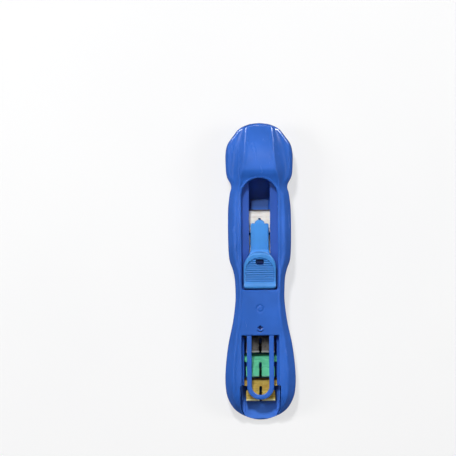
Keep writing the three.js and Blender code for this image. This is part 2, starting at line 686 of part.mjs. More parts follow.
function bottomShell() {
  const levels = [
    [0, BOTTOM_WALL],
    [0.15 * BOTTOM_WALL, 0.55 * BOTTOM_WALL],
    [0.5 * BOTTOM_WALL, 0.15 * BOTTOM_WALL],
    [0.85 * BOTTOM_WALL, 0],
    [SLIT_LOW_Z - GAP, 0],
    [SLIT_LOW_Z, GAP],
  ];
  // One pocket for the tray: wide behind the notch, a trench through the nose, and open at the tail
  const opening = rearSide(0).filter(([, y]) => y > TAIL_Y + TAIL_CUT && y < TAIL_Y + POCKET_END);
  const pocketRight = [
    [BULB_HALF, TAIL_Y - PAST],
    [BULB_HALF, TAIL_Y + TAIL_CUT],
    [opening[0][0] - GAP / 2, TAIL_Y + TAIL_CUT],
    ...opening,
    ...sideLine(RIM_WALL, TAIL_Y + POCKET_END + 0.4, NOTCH_Y - SHELL_WALL),
    [NOSE_CHANNEL_HALF, NOTCH_Y - SHELL_WALL],
    [NOSE_CHANNEL_HALF, NOSE_Y + PAST],
  ];
  const pocket = prism(polygon([...pocketRight, ...mirrored(pocketRight)]), BOTTOM_WALL, PAD_Z);
  let shell = loft(levels.map(([z, inset]) => outline(inset, z))).subtract(pocket);

  // Tabs that register the lower shell inside the upper one, and the pins
  const tabOuter = SHELL_WALL + GAP;
  const rooted = BOTTOM_WALL - 0.5;
  const tabTop = SLIT_LOW_Z + TAB_HEIGHT;
  pinPlaces.filter(([x]) => x > 0).forEach(([x, y]) => {
    const outer = sideLine(tabOuter, y - TAB_REACH, y + TAB_REACH);
    const inner = sideLine(tabOuter + TAB_THICKNESS, y - TAB_REACH, y + TAB_REACH).reverse();
    const tab = prism(polygon([...outer, ...inner]), rooted, tabTop)
      .subtract(post(x, y, SLIT_LOW_Z + 0.1, ABOVE_ALL, BOSS_RADIUS + GAP))
      .add(post(x, y, rooted, BOTTOM_WALL + PIN_HEIGHT, PIN_RADIUS));
    shell = shell.add(tab).add(tab.mirror([1, 0, 0]));
  });
  return shell;
}

function magazineChannel() {
  const wallTop = TRACK_Z - GAP;
  const section = polygon([
    [-CHANNEL_OUTER, CHANNEL_Z], [CHANNEL_OUTER, CHANNEL_Z], [CHANNEL_OUTER, wallTop],
    [CHANNEL_INNER, wallTop], [CHANNEL_INNER, LEDGE_Z], [LEDGE_INNER, LEDGE_Z], [LEDGE_INNER, FLOOR_Z],
    [-LEDGE_INNER, FLOOR_Z], [-LEDGE_INNER, LEDGE_Z], [-CHANNEL_INNER, LEDGE_Z],
    [-CHANNEL_INNER, wallTop], [-CHANNEL_OUTER, wallTop],
  ]);
  const inRear = prism(rearShape(-GAP, CHANNEL_FRONT_Y + PAST), 0, ABOVE_ALL);
  const inOutline = slab(GAP / 2, 0, ABOVE_ALL);
  const lowWalls = sideways(
    polygon([
      [TAIL_Y - PAST, LEDGE_Z - 0.2], [TAIL_Y + 4.5, LEDGE_Z], [TAIL_NARROW_Y, FLOOR_Z + REAR_WALL_HEIGHT],
      [WINDOW_Y, FLOOR_Z + REAR_WALL_HEIGHT], [WINDOW_Y, ABOVE_ALL], [TAIL_Y - PAST, ABOVE_ALL],
    ]),
    -CHANNEL_OUTER - 1,
    CHANNEL_OUTER + 1,
  );
  const tongue = sideways(
    polygon([
      [CHANNEL_FRONT_Y - 1, CHANNEL_Z], [CHANNEL_FRONT_Y + FLOOR_TONGUE_LENGTH, CHANNEL_Z],
      [CHANNEL_FRONT_Y + FLOOR_TONGUE_LENGTH, FLOOR_Z - FLOOR_TONGUE_DROP], [CHANNEL_FRONT_Y, FLOOR_Z],
      [CHANNEL_FRONT_Y - 1, FLOOR_Z],
    ]),
    -FLOOR_TONGUE_HALF,
    FLOOR_TONGUE_HALF,
  );
  return lengthways(section, TAIL_Y + 2 * GAP, CHANNEL_FRONT_Y)
    .intersect(inRear)
    .intersect(inOutline)
    .subtract(lowWalls)
    .add(tongue);
}

function slideTrack() {
  const plate = box(-TRACK_HALF, TRACK_HALF, TRACK_REAR_Y, TRACK_FRONT_Y, TRACK_Z, TRACK_TOP_Z);
  const slot = box(-SLOT_HALF, SLOT_HALF, PAD_REAR_Y + 0.6, TRACK_FRONT_Y + 1, TRACK_Z - 1, TRACK_TOP_Z + 1);
  const ribInner = RETAINER_HALF + GAP;
  const ribOuter = CLIP_BODY_WIDTH / 2;
  const rib = box(ribInner, ribOuter, TRACK_REAR_Y, CHANNEL_FRONT_Y, RETAINER_Z, TRACK_Z + 0.1);
  return plate.subtract(slot).add(rib).add(rib.mirror([1, 0, 0]));
}

// A rail's side view is built above the clip's middle plane, and mirrored for the lower jaw
function jawRail(side, level) {
  const halfSlit = SLIT_HEIGHT / 2;
  const top = halfSlit + RAIL_THICKNESS;
  const low = GAP / 2;
  const rampEnd = RAIL_REAR_Y + RAMP_LENGTH;
  const inner = CLIP_BODY_WIDTH / 2 + GAP;
  const seat = level > 0 ? TRACK_Z - GAP - MID_Z : MID_Z - BOTTOM_WALL - GAP;
  const flange = polygon([
    [RAIL_REAR_Y, low], [NOTCH_Y, low], [NOTCH_Y, halfSlit], [RAIL_FRONT_Y, halfSlit],
    [RAIL_FRONT_Y, top], [rampEnd, top], [RAIL_REAR_Y, low + RAIL_TIP],
  ]);
  const web = polygon([
    [RAIL_REAR_Y, low], [NOTCH_Y, low], [NOTCH_Y, halfSlit], [RAIL_FRONT_Y, halfSlit],
    [RAIL_FRONT_Y, seat], [RAIL_REAR_Y, seat],
  ]);
  const right = sideways(flange, inner, CHANNEL_OUTER).add(sideways(web, CHANNEL_INNER, CHANNEL_OUTER));
  const levelled = level > 0 ? right : right.mirror([0, 0, 1]);
  const sided = side > 0 ? levelled : levelled.mirror([1, 0, 0]);
  return sided.translate([0, 0, MID_Z]);
}

const RETAINER_HALF = SLOT_HALF + 1.15;
const STEM_HALF = SLOT_HALF - GAP;
const STEM_REAR_Y = PAD_REAR_Y + 1.7;
const STEM_FRONT_Y = ARM_ROOT_Y - GAP;
const HOLE_FRONT_Y = PAD_FRONT_Y - HOLE_BEHIND_FRONT;
const HOLE_REAR_Y = HOLE_FRONT_Y - HOLE_LENGTH;

// Round at the front, square with rounded corners at the rear
function padShape(inset, rear, front) {
  const half = PAD_HALF - inset;
  const corner = PAD_CORNER - Math.min(inset, PAD_CORNER - 0.2);
  const centre = front - half;
  const shape = new THREE.Shape();
  shape.moveTo(-half + corner, rear);
  shape.lineTo(half - corner, rear);
  shape.absarc(half - corner, rear + corner, corner, -Math.PI / 2, 0);
  shape.lineTo(half, centre);
  shape.absarc(0, centre, half, 0, Math.PI);
  shape.lineTo(-half, rear + corner);
  shape.absarc(-half + corner, rear + corner, corner, Math.PI, 1.5 * Math.PI);
  return shape;
}

function thumbSlider() {
  const bandFront = PAD_REAR_Y + PAD_BAND;
  const dishFront = PAD_FRONT_Y - PAD_FRONT_LAND;
  const frontTop = PAD_Z + PAD_FRONT_HEIGHT;
  const dipTop = PAD_Z + PAD_DIP_HEIGHT;
  const rearTop = PAD_Z + PAD_REAR_HEIGHT;
  const crown = polygon([
    [PAD_REAR_Y - 1, PAD_Z], [PAD_FRONT_Y + 1, PAD_Z], [PAD_FRONT_Y + 1, frontTop - 1.6],
    [PAD_FRONT_Y - 0.6, frontTop - 0.6], [PAD_FRONT_Y - 1.5, frontTop],
    [dishFront - 0.4, frontTop], [bandFront + 0.6, dipTop + PAD_RIM_HEIGHT],
    [bandFront - 0.4, dipTop + PAD_RIM_HEIGHT], [PAD_REAR_Y + 0.7, rearTop], [PAD_REAR_Y - 1, rearTop - 0.5],
  ]);
  // Dish with cross ribs: its floor climbs from the dip to the front
  const pitch = (dishFront - bandFront) / RIB_COUNT;
  const climb = (frontTop - PAD_RIM_HEIGHT - dipTop) / (dishFront - bandFront);
  const floorAt = (y) => dipTop + climb * (y - bandFront);
  const floorLine = [[bandFront, dipTop]];
  for (let i = 0; i < RIB_COUNT; i += 1) {
    const y = bandFront + i * pitch;
    floorLine.push([y + 0.27 * pitch, floorAt(y + 0.27 * pitch)]);
    floorLine.push([y + 0.45 * pitch, floorAt(y + 0.45 * pitch) + RIB_HEIGHT]);
    floorLine.push([y + 0.8 * pitch, floorAt(y + 0.8 * pitch) + RIB_HEIGHT]);
    floorLine.push([y + pitch, floorAt(y + pitch)]);
  }
  floorLine.push([dishFront + 1, floorAt(dishFront)], [dishFront + 1, ABOVE_ALL], [bandFront, ABOVE_ALL]);
  const dishShape = padShape(PAD_RIM, bandFront - 1, dishFront);
  const dish = sideways(polygon(floorLine), -PAD_HALF, PAD_HALF)
    .intersect(prism(dishShape, PAD_Z, ABOVE_ALL + 1));
  const stem = box(-STEM_HALF, STEM_HALF, STEM_REAR_Y, STEM_FRONT_Y, TRACK_Z, PAD_Z + 0.1);
  const ledgeTop = PAD_Z + HOOK_LEDGE_HEIGHT;
  return prism(padShape(0, PAD_REAR_Y, PAD_FRONT_Y), PAD_Z, ABOVE_ALL)
    .intersect(sideways(crown, -PAD_HALF - 1, PAD_HALF + 1))
    .subtract(dish)
    .add(stem)
    .subtract(box(-HOLE_HALF, HOLE_HALF, HOLE_REAR_Y + HOOK_LEDGE, HOLE_FRONT_Y, TRACK_Z - 1, ABOVE_ALL))
    .subtract(box(-HOLE_HALF, HOLE_HALF, HOLE_REAR_Y, HOLE_FRONT_Y, ledgeTop, ABOVE_ALL));
}

function sliderRetainer() {
  const plate = box(-RETAINER_HALF, RETAINER_HALF, STEM_REAR_Y, STEM_FRONT_Y, RETAINER_Z, TRACK_Z - GAP);
  const hookFront = HOLE_FRONT_Y - GAP;
  const hookRear = HOLE_REAR_Y + HOOK_LEDGE + GAP;
  const headLow = PAD_Z + HOOK_LEDGE_HEIGHT + GAP;
  const hook = polygon([
    [hookRear, RETAINER_Z + 0.5], [hookFront, RETAINER_Z + 0.5], [hookFront, headLow + HOOK_HEAD],
    [hookRear, headLow + HOOK_HEAD], [HOLE_REAR_Y + GAP, headLow], [hookRear, headLow],
  ]);
  return plate.add(sideways(hook, -HOLE_HALF + GAP, HOLE_HALF - GAP));
}

function pusherArm() {
  const armTop = TRACK_TOP_Z;
  const armLow = armTop - ARM_THICKNESS;
  const shoulder = ARM_TIP_Y - NIB_LENGTH;
  const shape = new THREE.Shape();
  shape.moveTo(-ARM_HALF, ARM_ROOT_Y);
  shape.lineTo(ARM_HALF, ARM_ROOT_Y);
  shape.lineTo(ARM_HALF, shoulder - 0.6);
  shape.absarc(ARM_HALF - 0.6, shoulder - 0.6, 0.6, 0, Math.PI / 2);
  shape.lineTo(NIB_HALF, shoulder);
  shape.quadraticCurveTo(NIB_HALF, ARM_TIP_Y, 0, ARM_TIP_Y);
  shape.quadraticCurveTo(-NIB_HALF, ARM_TIP_Y, -NIB_HALF, shoulder);
  shape.lineTo(-ARM_HALF + 0.6, shoulder);
  shape.absarc(-ARM_HALF + 0.6, shoulder - 0.6, 0.6, Math.PI / 2, Math.PI);
  const toothLow = armLow - TOOTH_DEPTH;
  const tooth = polygon([
    [ARM_TIP_Y - TOOTH_LENGTH - 1.4, armLow + 0.2], [ARM_TIP_Y - 0.15, armLow + 0.2],
    [ARM_TIP_Y - 0.05, toothLow], [ARM_TIP_Y - TOOTH_LENGTH / 2, toothLow],
  ]);
  const half = CLIP_SLOT_WIDTH / 2 - SLOT_GAP;
  return prism(shape, armLow, armTop, 6).add(sideways(tooth, -half, half));
}

const TONGUE_ROOT_Y = WINDOW_Y - GAP;
const TONGUE_END_Y = LAST_SPINE_Y + TONGUE_END_FROM_SPINE;
const TONGUE_ROOT_Z = crestZ(WINDOW_Y) - 0.2;

function loadingTongue() {
  const centre = TONGUE_END_Y + TONGUE_HALF;
  const shape = new THREE.Shape();
  shape.moveTo(TONGUE_HALF, TONGUE_ROOT_Y);
  shape.lineTo(WINDOW_HALF, TONGUE_ROOT_Y);
  shape.lineTo(WINDOW_HALF, centre);
  shape.absarc(0, centre, WINDOW_HALF, 0, -Math.PI, true);
  shape.lineTo(-WINDOW_HALF, TONGUE_ROOT_Y);
  shape.lineTo(-TONGUE_HALF, TONGUE_ROOT_Y);
  shape.lineTo(-TONGUE_HALF, centre);
  shape.absarc(0, centre, TONGUE_HALF, -Math.PI, 0);
  shape.closePath();
  const endTop = TONGUE_ROOT_Z - TONGUE_SLOPE;
  const blade = sideways(
    polygon([
      [TONGUE_ROOT_Y + 1, TONGUE_ROOT_Z], [TONGUE_ROOT_Y + 1, TONGUE_ROOT_Z - TONGUE_THICKNESS],
      [TONGUE_END_Y - 1, endTop - TONGUE_THICKNESS], [TONGUE_END_Y - 1, endTop],
    ]),
    -TONGUE_HALF - 1,
    TONGUE_HALF + 1,
  );
  const toothY = LAST_SPINE_Y + TONGUE_TOOTH_FROM_SPINE;
  const toothLow = CLIP_TOP_Z + 0.8 - TONGUE_TOOTH_DEPTH;
  const tooth = polygon([
    [toothY - TONGUE_TOOTH_LENGTH / 2, endTop - 0.4], [toothY - TONGUE_TOOTH_LENGTH / 2 + 0.5, toothLow],
    [toothY + TONGUE_TOOTH_LENGTH / 2, toothLow], [toothY + TONGUE_TOOTH_LENGTH / 2, endTop - 0.4],
  ]);
  const half = CLIP_SLOT_WIDTH / 2 - SLOT_GAP;
  return prism(shape, 0, ABOVE_ALL, 10).intersect(blade).add(sideways(tooth, -half, half));
}

// Clip: the strip's side view with the spine at Y = 0 and the middle plane at Z = 0
function clip() {
  const top = CLIP_HEIGHT / 2;
  const neck = CLIP_LENGTH - CLIP_LIP_LENGTH;
  const neckIn = CLIP_MOUTH_GAP / 2;
  const neckOut = neckIn + CLIP_SHEET;
  const bendIn = CLIP_BEND - CLIP_SHEET * 0.6;
  const outerHalf = [
    [CLIP_LENGTH, neckOut + CLIP_LIP_RISE],
    [neck + 0.15, neckOut + 0.08],
    [neck - 0.4, neckOut + 0.05],
    [CLIP_BEND, top],
    [CLIP_BEND * 0.3, top - CLIP_BEND * 0.25],
    [0, top - CLIP_BEND],
  ];
  const innerHalf = [
    [CLIP_SHEET, top - CLIP_SHEET - bendIn],
    [CLIP_SHEET + bendIn, top - CLIP_SHEET],
    [neck - 0.4, neckIn],
    [neck + 0.15, neckIn + 0.02],
    [CLIP_LENGTH - 0.15, neckIn + CLIP_LIP_RISE + 0.05],
  ];
  const flip = (points) => points.map(([y, z]) => [y, -z]).reverse();
  const strip = sideways(
    polygon([...outerHalf, ...flip(outerHalf), ...flip(innerHalf), ...innerHalf]),
    -EAR_HALF,
    EAR_HALF,
  );
  // Straight sides from the spine, and a notch on each side behind the ears
  const side = new THREE.Shape();
  const earRear = CLIP_LENGTH - CLIP_EAR_LENGTH;
  const neckRear = earRear - CLIP_NECK_LENGTH;
  const neckHalf = CLIP_NECK_WIDTH / 2;
  const corner = CLIP_NECK_CORNER;
  side.moveTo(CLIP_BODY_WIDTH / 2, -1);
  side.lineTo(EAR_HALF + 1, -1);
  side.lineTo(EAR_HALF + 1, earRear);
  side.lineTo(neckHalf + corner, earRear);
  side.quadraticCurveTo(neckHalf, earRear, neckHalf, earRear - corner);
  side.lineTo(neckHalf, neckRear + corner);
  side.quadraticCurveTo(neckHalf, neckRear, neckHalf + corner, neckRear);
  side.lineTo(CLIP_BODY_WIDTH / 2, neckRear);
  const cut = prism(side, -CLIP_HEIGHT, CLIP_HEIGHT, 3);
  const half = CLIP_SLOT_WIDTH / 2;
  const slot = box(-half, half, -1, CLIP_SLOT_LENGTH, -CLIP_SHEET / 2, CLIP_HEIGHT);
  return strip.subtract(cut).subtract(cut.mirror([1, 0, 0])).subtract(slot);
}

// Assembly
const dispenser = new THREE.Group();
const shellMaterial = plastic(colours.shell);
const sliderMaterial = plastic(colours.slider);
const railMaterial = plastic(colours.rail);

dispenser.add(named('top_shell', topShell(), shellMaterial));
dispenser.add(named('bottom_shell', bottomShell(), shellMaterial));
dispenser.add(named('magazine_channel', magazineChannel(), plastic(colours.tray)));
dispenser.add(named('slide_track', slideTrack(), plastic(colours.track)));
dispenser.add(named('upper_jaw_rail_left', jawRail(-1, 1), railMaterial));
dispenser.add(named('upper_jaw_rail_right', jawRail(1, 1), railMaterial));
dispenser.add(named('lower_jaw_rail_left', jawRail(-1, -1), railMaterial));
dispenser.add(named('lower_jaw_rail_right', jawRail(1, -1), railMaterial));
dispenser.add(named('thumb_slider', thumbSlider(), sliderMaterial));
dispenser.add(named('slider_retainer', sliderRetainer(), plastic(colours.tray)));
dispenser.add(named('pusher_arm', pusherArm(), sliderMaterial));
dispenser.add(named('loading_tongue', loadingTongue(), shellMaterial));

const clipBody = clip();
for (let i = 0; i < CLIP_COUNT; i += 1) {
  const fromLast = CLIP_COUNT - 1 - i;
  const colour = [colours.gold, colours.green][fromLast] ?? colours.silver;
  const mesh = named(`clip_${i + 1}`, clipBody, metal(colour));
  mesh.position.set(0, SPINE_Y - i * CLIP_PITCH, MID_Z);
  dispenser.add(mesh);
}

export default dispenser;
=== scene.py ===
import itertools
import math

import bpy
import numpy as np
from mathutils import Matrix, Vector

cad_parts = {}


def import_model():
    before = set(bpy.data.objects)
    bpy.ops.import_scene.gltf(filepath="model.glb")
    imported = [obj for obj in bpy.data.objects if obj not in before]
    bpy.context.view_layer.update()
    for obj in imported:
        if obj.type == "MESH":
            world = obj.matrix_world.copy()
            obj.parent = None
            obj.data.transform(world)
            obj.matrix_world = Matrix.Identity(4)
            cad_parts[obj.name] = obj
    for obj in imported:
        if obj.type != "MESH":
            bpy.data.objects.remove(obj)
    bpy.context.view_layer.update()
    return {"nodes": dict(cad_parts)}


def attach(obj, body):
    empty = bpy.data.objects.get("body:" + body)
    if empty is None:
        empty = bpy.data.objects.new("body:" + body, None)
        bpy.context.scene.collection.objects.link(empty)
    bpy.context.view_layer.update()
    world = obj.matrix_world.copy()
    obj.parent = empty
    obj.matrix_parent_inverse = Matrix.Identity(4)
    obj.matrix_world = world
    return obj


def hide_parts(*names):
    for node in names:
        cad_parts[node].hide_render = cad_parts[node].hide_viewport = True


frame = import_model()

# A hand-held clip dispenser that lies on its flat underside, with its nose towards +Y.
# Shapes are in millimetres until mesh_object() turns them into metres. Lamps and the camera
# are placed in metres.

MM = 0.001

# Named sizes, in millimetres and the same as the solids'

GAP = 0.3
NOSE_Y, TAIL_Y = 63.0, -63.0
ARCH_Y, NOTCH_Y = 39.6, 35.3
RECESS_REAR_Y, WINDOW_Y = -7.7, -27.0
HEAD_HALF, BODY_HALF, BULB_HALF = 14.25, 13.3, 14.9
WAIST_HALF, NOTCH_HALF = 10.45, 11.95
RECESS_HALF, TRACK_HALF = 7.66, 8.5
REAR_OPENING_HALF, TAIL_OPENING_HALF = 8.55, 6.6
TAIL_NARROW_Y = -54.5
SIDE_SLOT_HALF, SIDE_SLOT_LENGTH = 7.95, 21.5
SHELF_HALF, SHELF_THICKNESS = 6.85, 1.2
BOTTOM_WALL, SHELL_WALL, SHELL_TOP, SKIRT, RIM_WALL = 1.5, 1.2, 1.3, 1.2, 1.8
NOSE_CHANNEL_HALF = 8.5
CLIP_TOP_Z = 8.4
TRACK_Z, TRACK_TOP_Z, PAD_Z = 10.1, 11.2, 11.5
SLIT_LOW_Z, SLIT_HIGH_Z, TOP_SHELL_Z = 3.85, 8.15, 4.15
RIDGE_Z, HOOD_PEAK_Z, HOOD_FRONT_Z, COVER_REAR_Z, BULB_Z = 14.5, 17.95, 13.2, 12.9, 12.0
HIGHEST_Z = 18.04
SLOT_HALF = 4.45
PAD_REAR_Y, PAD_FRONT_Y, PAD_HALF, PAD_CORNER = -7.2, 8.5, 6.8, 1.3
ARM_ROOT_Y, ARM_TIP_Y, ARM_HALF = 7.2, 22.05, 3.83
SPINE_Y, CLIP_PITCH, CLIP_COUNT, MID_Z = 16.5, 10.2, 8, 6.0
TONGUE_HALF, TONGUE_WINDOW_HALF, TONGUE_END_Y = 5.75, 3.68, -54.3
TONGUE_ROOT_Z, TONGUE_SLOPE, TONGUE_THICKNESS = 12.7, 1.5, 1.4
CAVITY_FRONT_Y, TAIL_CUT_Y = NOTCH_Y - SHELL_WALL, TAIL_Y + 1.7
PIN_RADIUS, PIN_HOLE_RADIUS, PIN_BOSS_RADIUS, PIN_TOP_Z = 0.8, 1.1, 1.7, BOTTOM_WALL + 7
ARM_THICKNESS, ARM_LIFT, TOOTH_HALF = 1.3, math.radians(8), 0.25
PAST = 4.0              # How far a cut runs past the shape's end
OUTLINE_INSET = 0.02    # Keeps the smooth skin inside the solids' box


# Lines and outlines

def through(knots):
    """A smooth line through [place, value] knots that never overshoots between them."""
    knots = sorted(knots)
    x = np.array([k[0] for k in knots], float)
    v = np.array([k[1] for k in knots], float)
    slope = np.diff(v) / np.diff(x)
    before = np.concatenate([slope[:1], slope])
    after = np.concatenate([slope, slope[-1:]])
    total = before + after
    tangent = np.where(before * after > 0, 2 * before * after / np.where(total == 0, 1, total), 0)

    def line(place):
        place = np.asarray(place, float)
        k = np.clip(np.searchsorted(x, place, side="right") - 1, 0, len(x) - 2)
        span = x[k + 1] - x[k]
        t = np.clip((place - x[k]) / span, 0, 1)
        t2, t3 = t * t, t * t * t
        return ((2 * t3 - 3 * t2 + 1) * v[k] + (t3 - 2 * t2 + t) * span * tangent[k]
                + (3 * t2 - 2 * t3) * v[k + 1] + (t3 - t2) * span * tangent[k + 1])
    return line


def closed_curve(points, steps):
    """A closed centripetal Catmull-Rom curve through the points."""
    points = np.array(points, float)
    count = len(points)
    out = []
    per = steps // count
    for i in range(count):
        p0, p1, p2, p3 = (points[(i + k) % count] for k in (-1, 0, 1, 2))
        d0, d1, d2 = (np.linalg.norm(b - a) ** 0.5 for a, b in ((p0, p1), (p1, p2), (p2, p3)))
        t1 = ((p1 - p0) / d0 - (p2 - p0) / (d0 + d1) + (p2 - p1) / d1) * d1
        t2 = ((p2 - p1) / d1 - (p3 - p1) / (d1 + d2) + (p3 - p2) / d2) * d1
        t = np.linspace(0, 1, per, endpoint=False)[:, None]
        out.append(p1 + t1 * t + (-3 * p1 + 3 * p2 - 2 * t1 - t2) * t ** 2
                   + (2 * p1 - 2 * p2 + t1 + t2) * t ** 3)
    return np.concatenate(out)


OUTLINE_KNOTS = [
    (NOSE_Y, 0), (NOSE_Y - 0.4, 0.29 * HEAD_HALF), (NOSE_Y - 2.1, 0.57 * HEAD_HALF),
    (NOSE_Y - 5.5, 0.77 * HEAD_HALF), (NOSE_Y - 8.9, 0.935 * HEAD_HALF), (NOSE_Y - 12.3, 0.995 * HEAD_HALF),
    (NOSE_Y - 17.5, HEAD_HALF), (NOTCH_Y + 5.1, 0.965 * HEAD_HALF), (NOTCH_Y + 1.7, NOTCH_HALF + 0.15),
    (NOTCH_Y, NOTCH_HALF), (NOTCH_Y - 1.7, NOTCH_HALF + 0.5), (NOTCH_Y - 5.1, BODY_HALF - 0.34),
    (NOTCH_Y - 8.5, BODY_HALF), (RECESS_REAR_Y + 17.7, BODY_HALF), (RECESS_REAR_Y + 12.4, BODY_HALF - 0.5),
    (RECESS_REAR_Y + 9, WAIST_HALF + 1.15), (RECESS_REAR_Y + 5.6, WAIST_HALF + 0.35),
    (RECESS_REAR_Y + 0.5, WAIST_HALF), (RECESS_REAR_Y - 4.6, WAIST_HALF), (WINDOW_Y + 6.1, WAIST_HALF + 1.05),
    (WINDOW_Y - 4.1, BULB_HALF - 1.3), (TAIL_Y + 21.7, BULB_HALF - 0.1), (TAIL_Y + 14.9, BULB_HALF),
    (TAIL_Y + 9.8, 0.944 * BULB_HALF), (TAIL_Y + 4.7, 0.752 * BULB_HALF), (TAIL_Y + 1.3, 0.403 * BULB_HALF),
    (TAIL_Y, 0),
]
outline_loop = [(half, y) for y, half in OUTLINE_KNOTS]
outline_loop += [(-half, y) for y, half in OUTLINE_KNOTS[-2:0:-1]]
OUTLINE = closed_curve(outline_loop, 1200)
right_side = OUTLINE[OUTLINE[:, 0] >= 0]
right_side = right_side[np.argsort(right_side[:, 1])]


def half_width(y):
    """Half of the outline's width at a place along it."""
    return np.interp(y, right_side[:, 1], right_side[:, 0])


def arc(x, y, radius, start, end, steps=24):
    """Points along an arc."""
    angles = np.linspace(start, end, steps)
    return [(x + radius * math.cos(a), y + radius * math.sin(a)) for a in angles]


def slot_outline(half, rear, front, corner):
    """Round at the front, square with rounded corners at the rear: the thumb recess and the pad."""
    centre = front - half
    return np.array(
        arc(half - corner, rear + corner, corner, -math.pi / 2, 0, 10)
        + arc(0, centre, half, 0, math.pi, 60)
        + arc(-half + corner, rear + corner, corner, math.pi, 1.5 * math.pi, 10))


def rear_outline(grow, front=WINDOW_Y, past=PAST):
    """The rear opening, which draws in towards the tail and runs out of it."""
    half, tail, drawn = REAR_OPENING_HALF + grow, TAIL_OPENING_HALF + grow, TAIL_Y + 1.6
    t = np.linspace(0, 1, 16)
    x = (1 - t) ** 2 * tail + 2 * t * (1 - t) * half + t ** 2 * half
    y = (1 - t) ** 2 * drawn + 2 * t * (1 - t) * (drawn + 2) + t ** 2 * TAIL_NARROW_Y
    right = [(tail, TAIL_Y - past)] + list(zip(x, y)) + [(half, front)]
    return np.array(right + [(-a, b) for a, b in right[::-1]])


# Fields: negative inside, in millimetres. A shape is a field on a grid, and its skin is where it is zero.

COARSE = 1.0
CORNERS = list(itertools.product((0, 1), repeat=3))


def even(low, high, step):
    """The three axes of a box of even steps."""
    return [spaced((l, s), (h, s)) for l, h, s in zip(low, high, step)]


def spaced(*marks):
    """Places from the first mark to the last, each mark being (place, step up to the next mark)."""
    out = [marks[0][0]]
    for (start, step), (end, _) in zip(marks, marks[1:]):
        count = max(1, int(round((end - start) / (step * COARSE))))
        out += list(np.linspace(start, end, count + 1)[1:])
    return np.array(out)


class Grid:
    """A grid's three axes, and the same places as arrays that spread over the whole grid."""

    def __init__(self, *axes):
        self.axes = axes
        self.x = axes[0][:, None, None]
        self.y = axes[1][None, :, None]
        self.z = axes[2][None, None, :]


def polygon_distance(loop, us, vs, reach=8.0):
    """Signed distance from a closed outline, at every us by vs, right up to reach."""
    start, end = loop, np.roll(loop, -1, 0)
    low, high = np.minimum(start[:, 1], end[:, 1]), np.maximum(start[:, 1], end[:, 1])
    out = np.full((len(us), len(vs)), reach)
    for j, v in enumerate(vs):
        near = (low < v + reach) & (high > v - reach)
        if not near.any():
            continue
        p, d = start[near], (end - start)[near]
        square = np.maximum((d ** 2).sum(1), 1e-12)
        ru, rv = us[:, None] - p[:, 0], v - p[:, 1]
        t = np.clip((ru * d[:, 0] + rv * d[:, 1]) / square, 0, 1)
        distance = np.sqrt(((ru - t * d[:, 0]) ** 2 + (rv - t * d[:, 1]) ** 2).min(1))
        crossing = (p[:, 1] > v) != (p[:, 1] + d[:, 1] > v)
        rise = np.where(np.abs(d[:, 1]) < 1e-12, 1, d[:, 1])
        at = p[:, 0] + rv / rise * d[:, 0]
        inside = ((us[:, None] < at) & crossing).sum(1) % 2 == 1
        out[:, j] = np.where(inside, -1, 1) * np.minimum(distance, reach)
    return out


def plan(grid, loop, reach=8.0):
    """An outline seen from above, as a field."""
    return polygon_distance(np.asarray(loop, float), grid.axes[0], grid.axes[1], reach)[:, :, None]


def profile(grid, loop, reach=8.0):
    """An outline seen from the side, in Y and Z, as a field."""
    return polygon_distance(np.asarray(loop, float), grid.axes[1], grid.axes[2], reach)[None, :, :]


def block(grid, left, right, rear, front, low, high):
    """A square-edged box."""
    cx, cy, cz = (left + right) / 2, (rear + front) / 2, (low + high) / 2
    qx, qy, qz = (np.abs(grid.x - cx) - (right - left) / 2, np.abs(grid.y - cy) - (front - rear) / 2,
                  np.abs(grid.z - cz) - (high - low) / 2)
    outside = np.sqrt(np.maximum(qx, 0) ** 2 + np.maximum(qy, 0) ** 2 + np.maximum(qz, 0) ** 2)
    return outside + np.minimum(np.maximum(np.maximum(qx, qy), qz), 0)


def column(grid, x, y, radius):
    """An endless upright round post."""
    return np.sqrt((grid.x - x) ** 2 + (grid.y - y) ** 2) - radius


def both(a, b, radius=0.0):
    """What lies in both, with its new edges rounded."""
    if radius <= 0:
        return np.maximum(a, b)
    corner = np.sqrt(np.maximum(radius + a, 0) ** 2 + np.maximum(radius + b, 0) ** 2)
    return np.minimum(-radius, np.maximum(a, b)) + corner


def either(a, b, radius=0.0):
    """What lies in either, with its new inner corners filled."""
    return -both(-a, -b, radius)


def without(a, b, radius=0.0):
    """What lies in the first and not in the second, with its new edges rounded."""
    return both(a, -b, radius)


def sample(values, place):
    """Values of a grid field at fractional places, with straight lines between the grid's points."""
    top = np.array(values.shape) - 1
    place = np.clip(place, 0, top - 1e-6)
    i = place.astype(int)
    f = place - i
    out = 0
    for dx, dy, dz in CORNERS:
        weight = (np.where(dx, f[:, 0], 1 - f[:, 0]) * np.where(dy, f[:, 1], 1 - f[:, 1])
                  * np.where(dz, f[:, 2], 1 - f[:, 2]))
        out = out + weight * values[i[:, 0] + dx, i[:, 1] + dy, i[:, 2] + dz]
    return out


def crossing_points(field, cells):
    """In each cell, the mean of the places where its edges cross the surface, in fractional grid steps."""
    values = {c: field[cells[:, 0] + c[0], cells[:, 1] + c[1], cells[:, 2] + c[2]] for c in CORNERS}
    total = np.zeros((len(cells), 3))
    crossings = np.zeros(len(cells))
    for a in CORNERS:
        for axis in range(3):
            if a[axis]:
                continue
            b = tuple(1 if k == axis else a[k] for k in range(3))
            fa, fb = values[a], values[b]
            cut = (fa < 0) != (fb < 0)
            point = np.tile(np.array(a, float), (len(cells), 1))
            point[:, axis] = np.where(cut, fa / np.where(cut, fa - fb, 1), 0)
            total += point * cut[:, None]
            crossings += cut
    return cells + total / crossings[:, None]


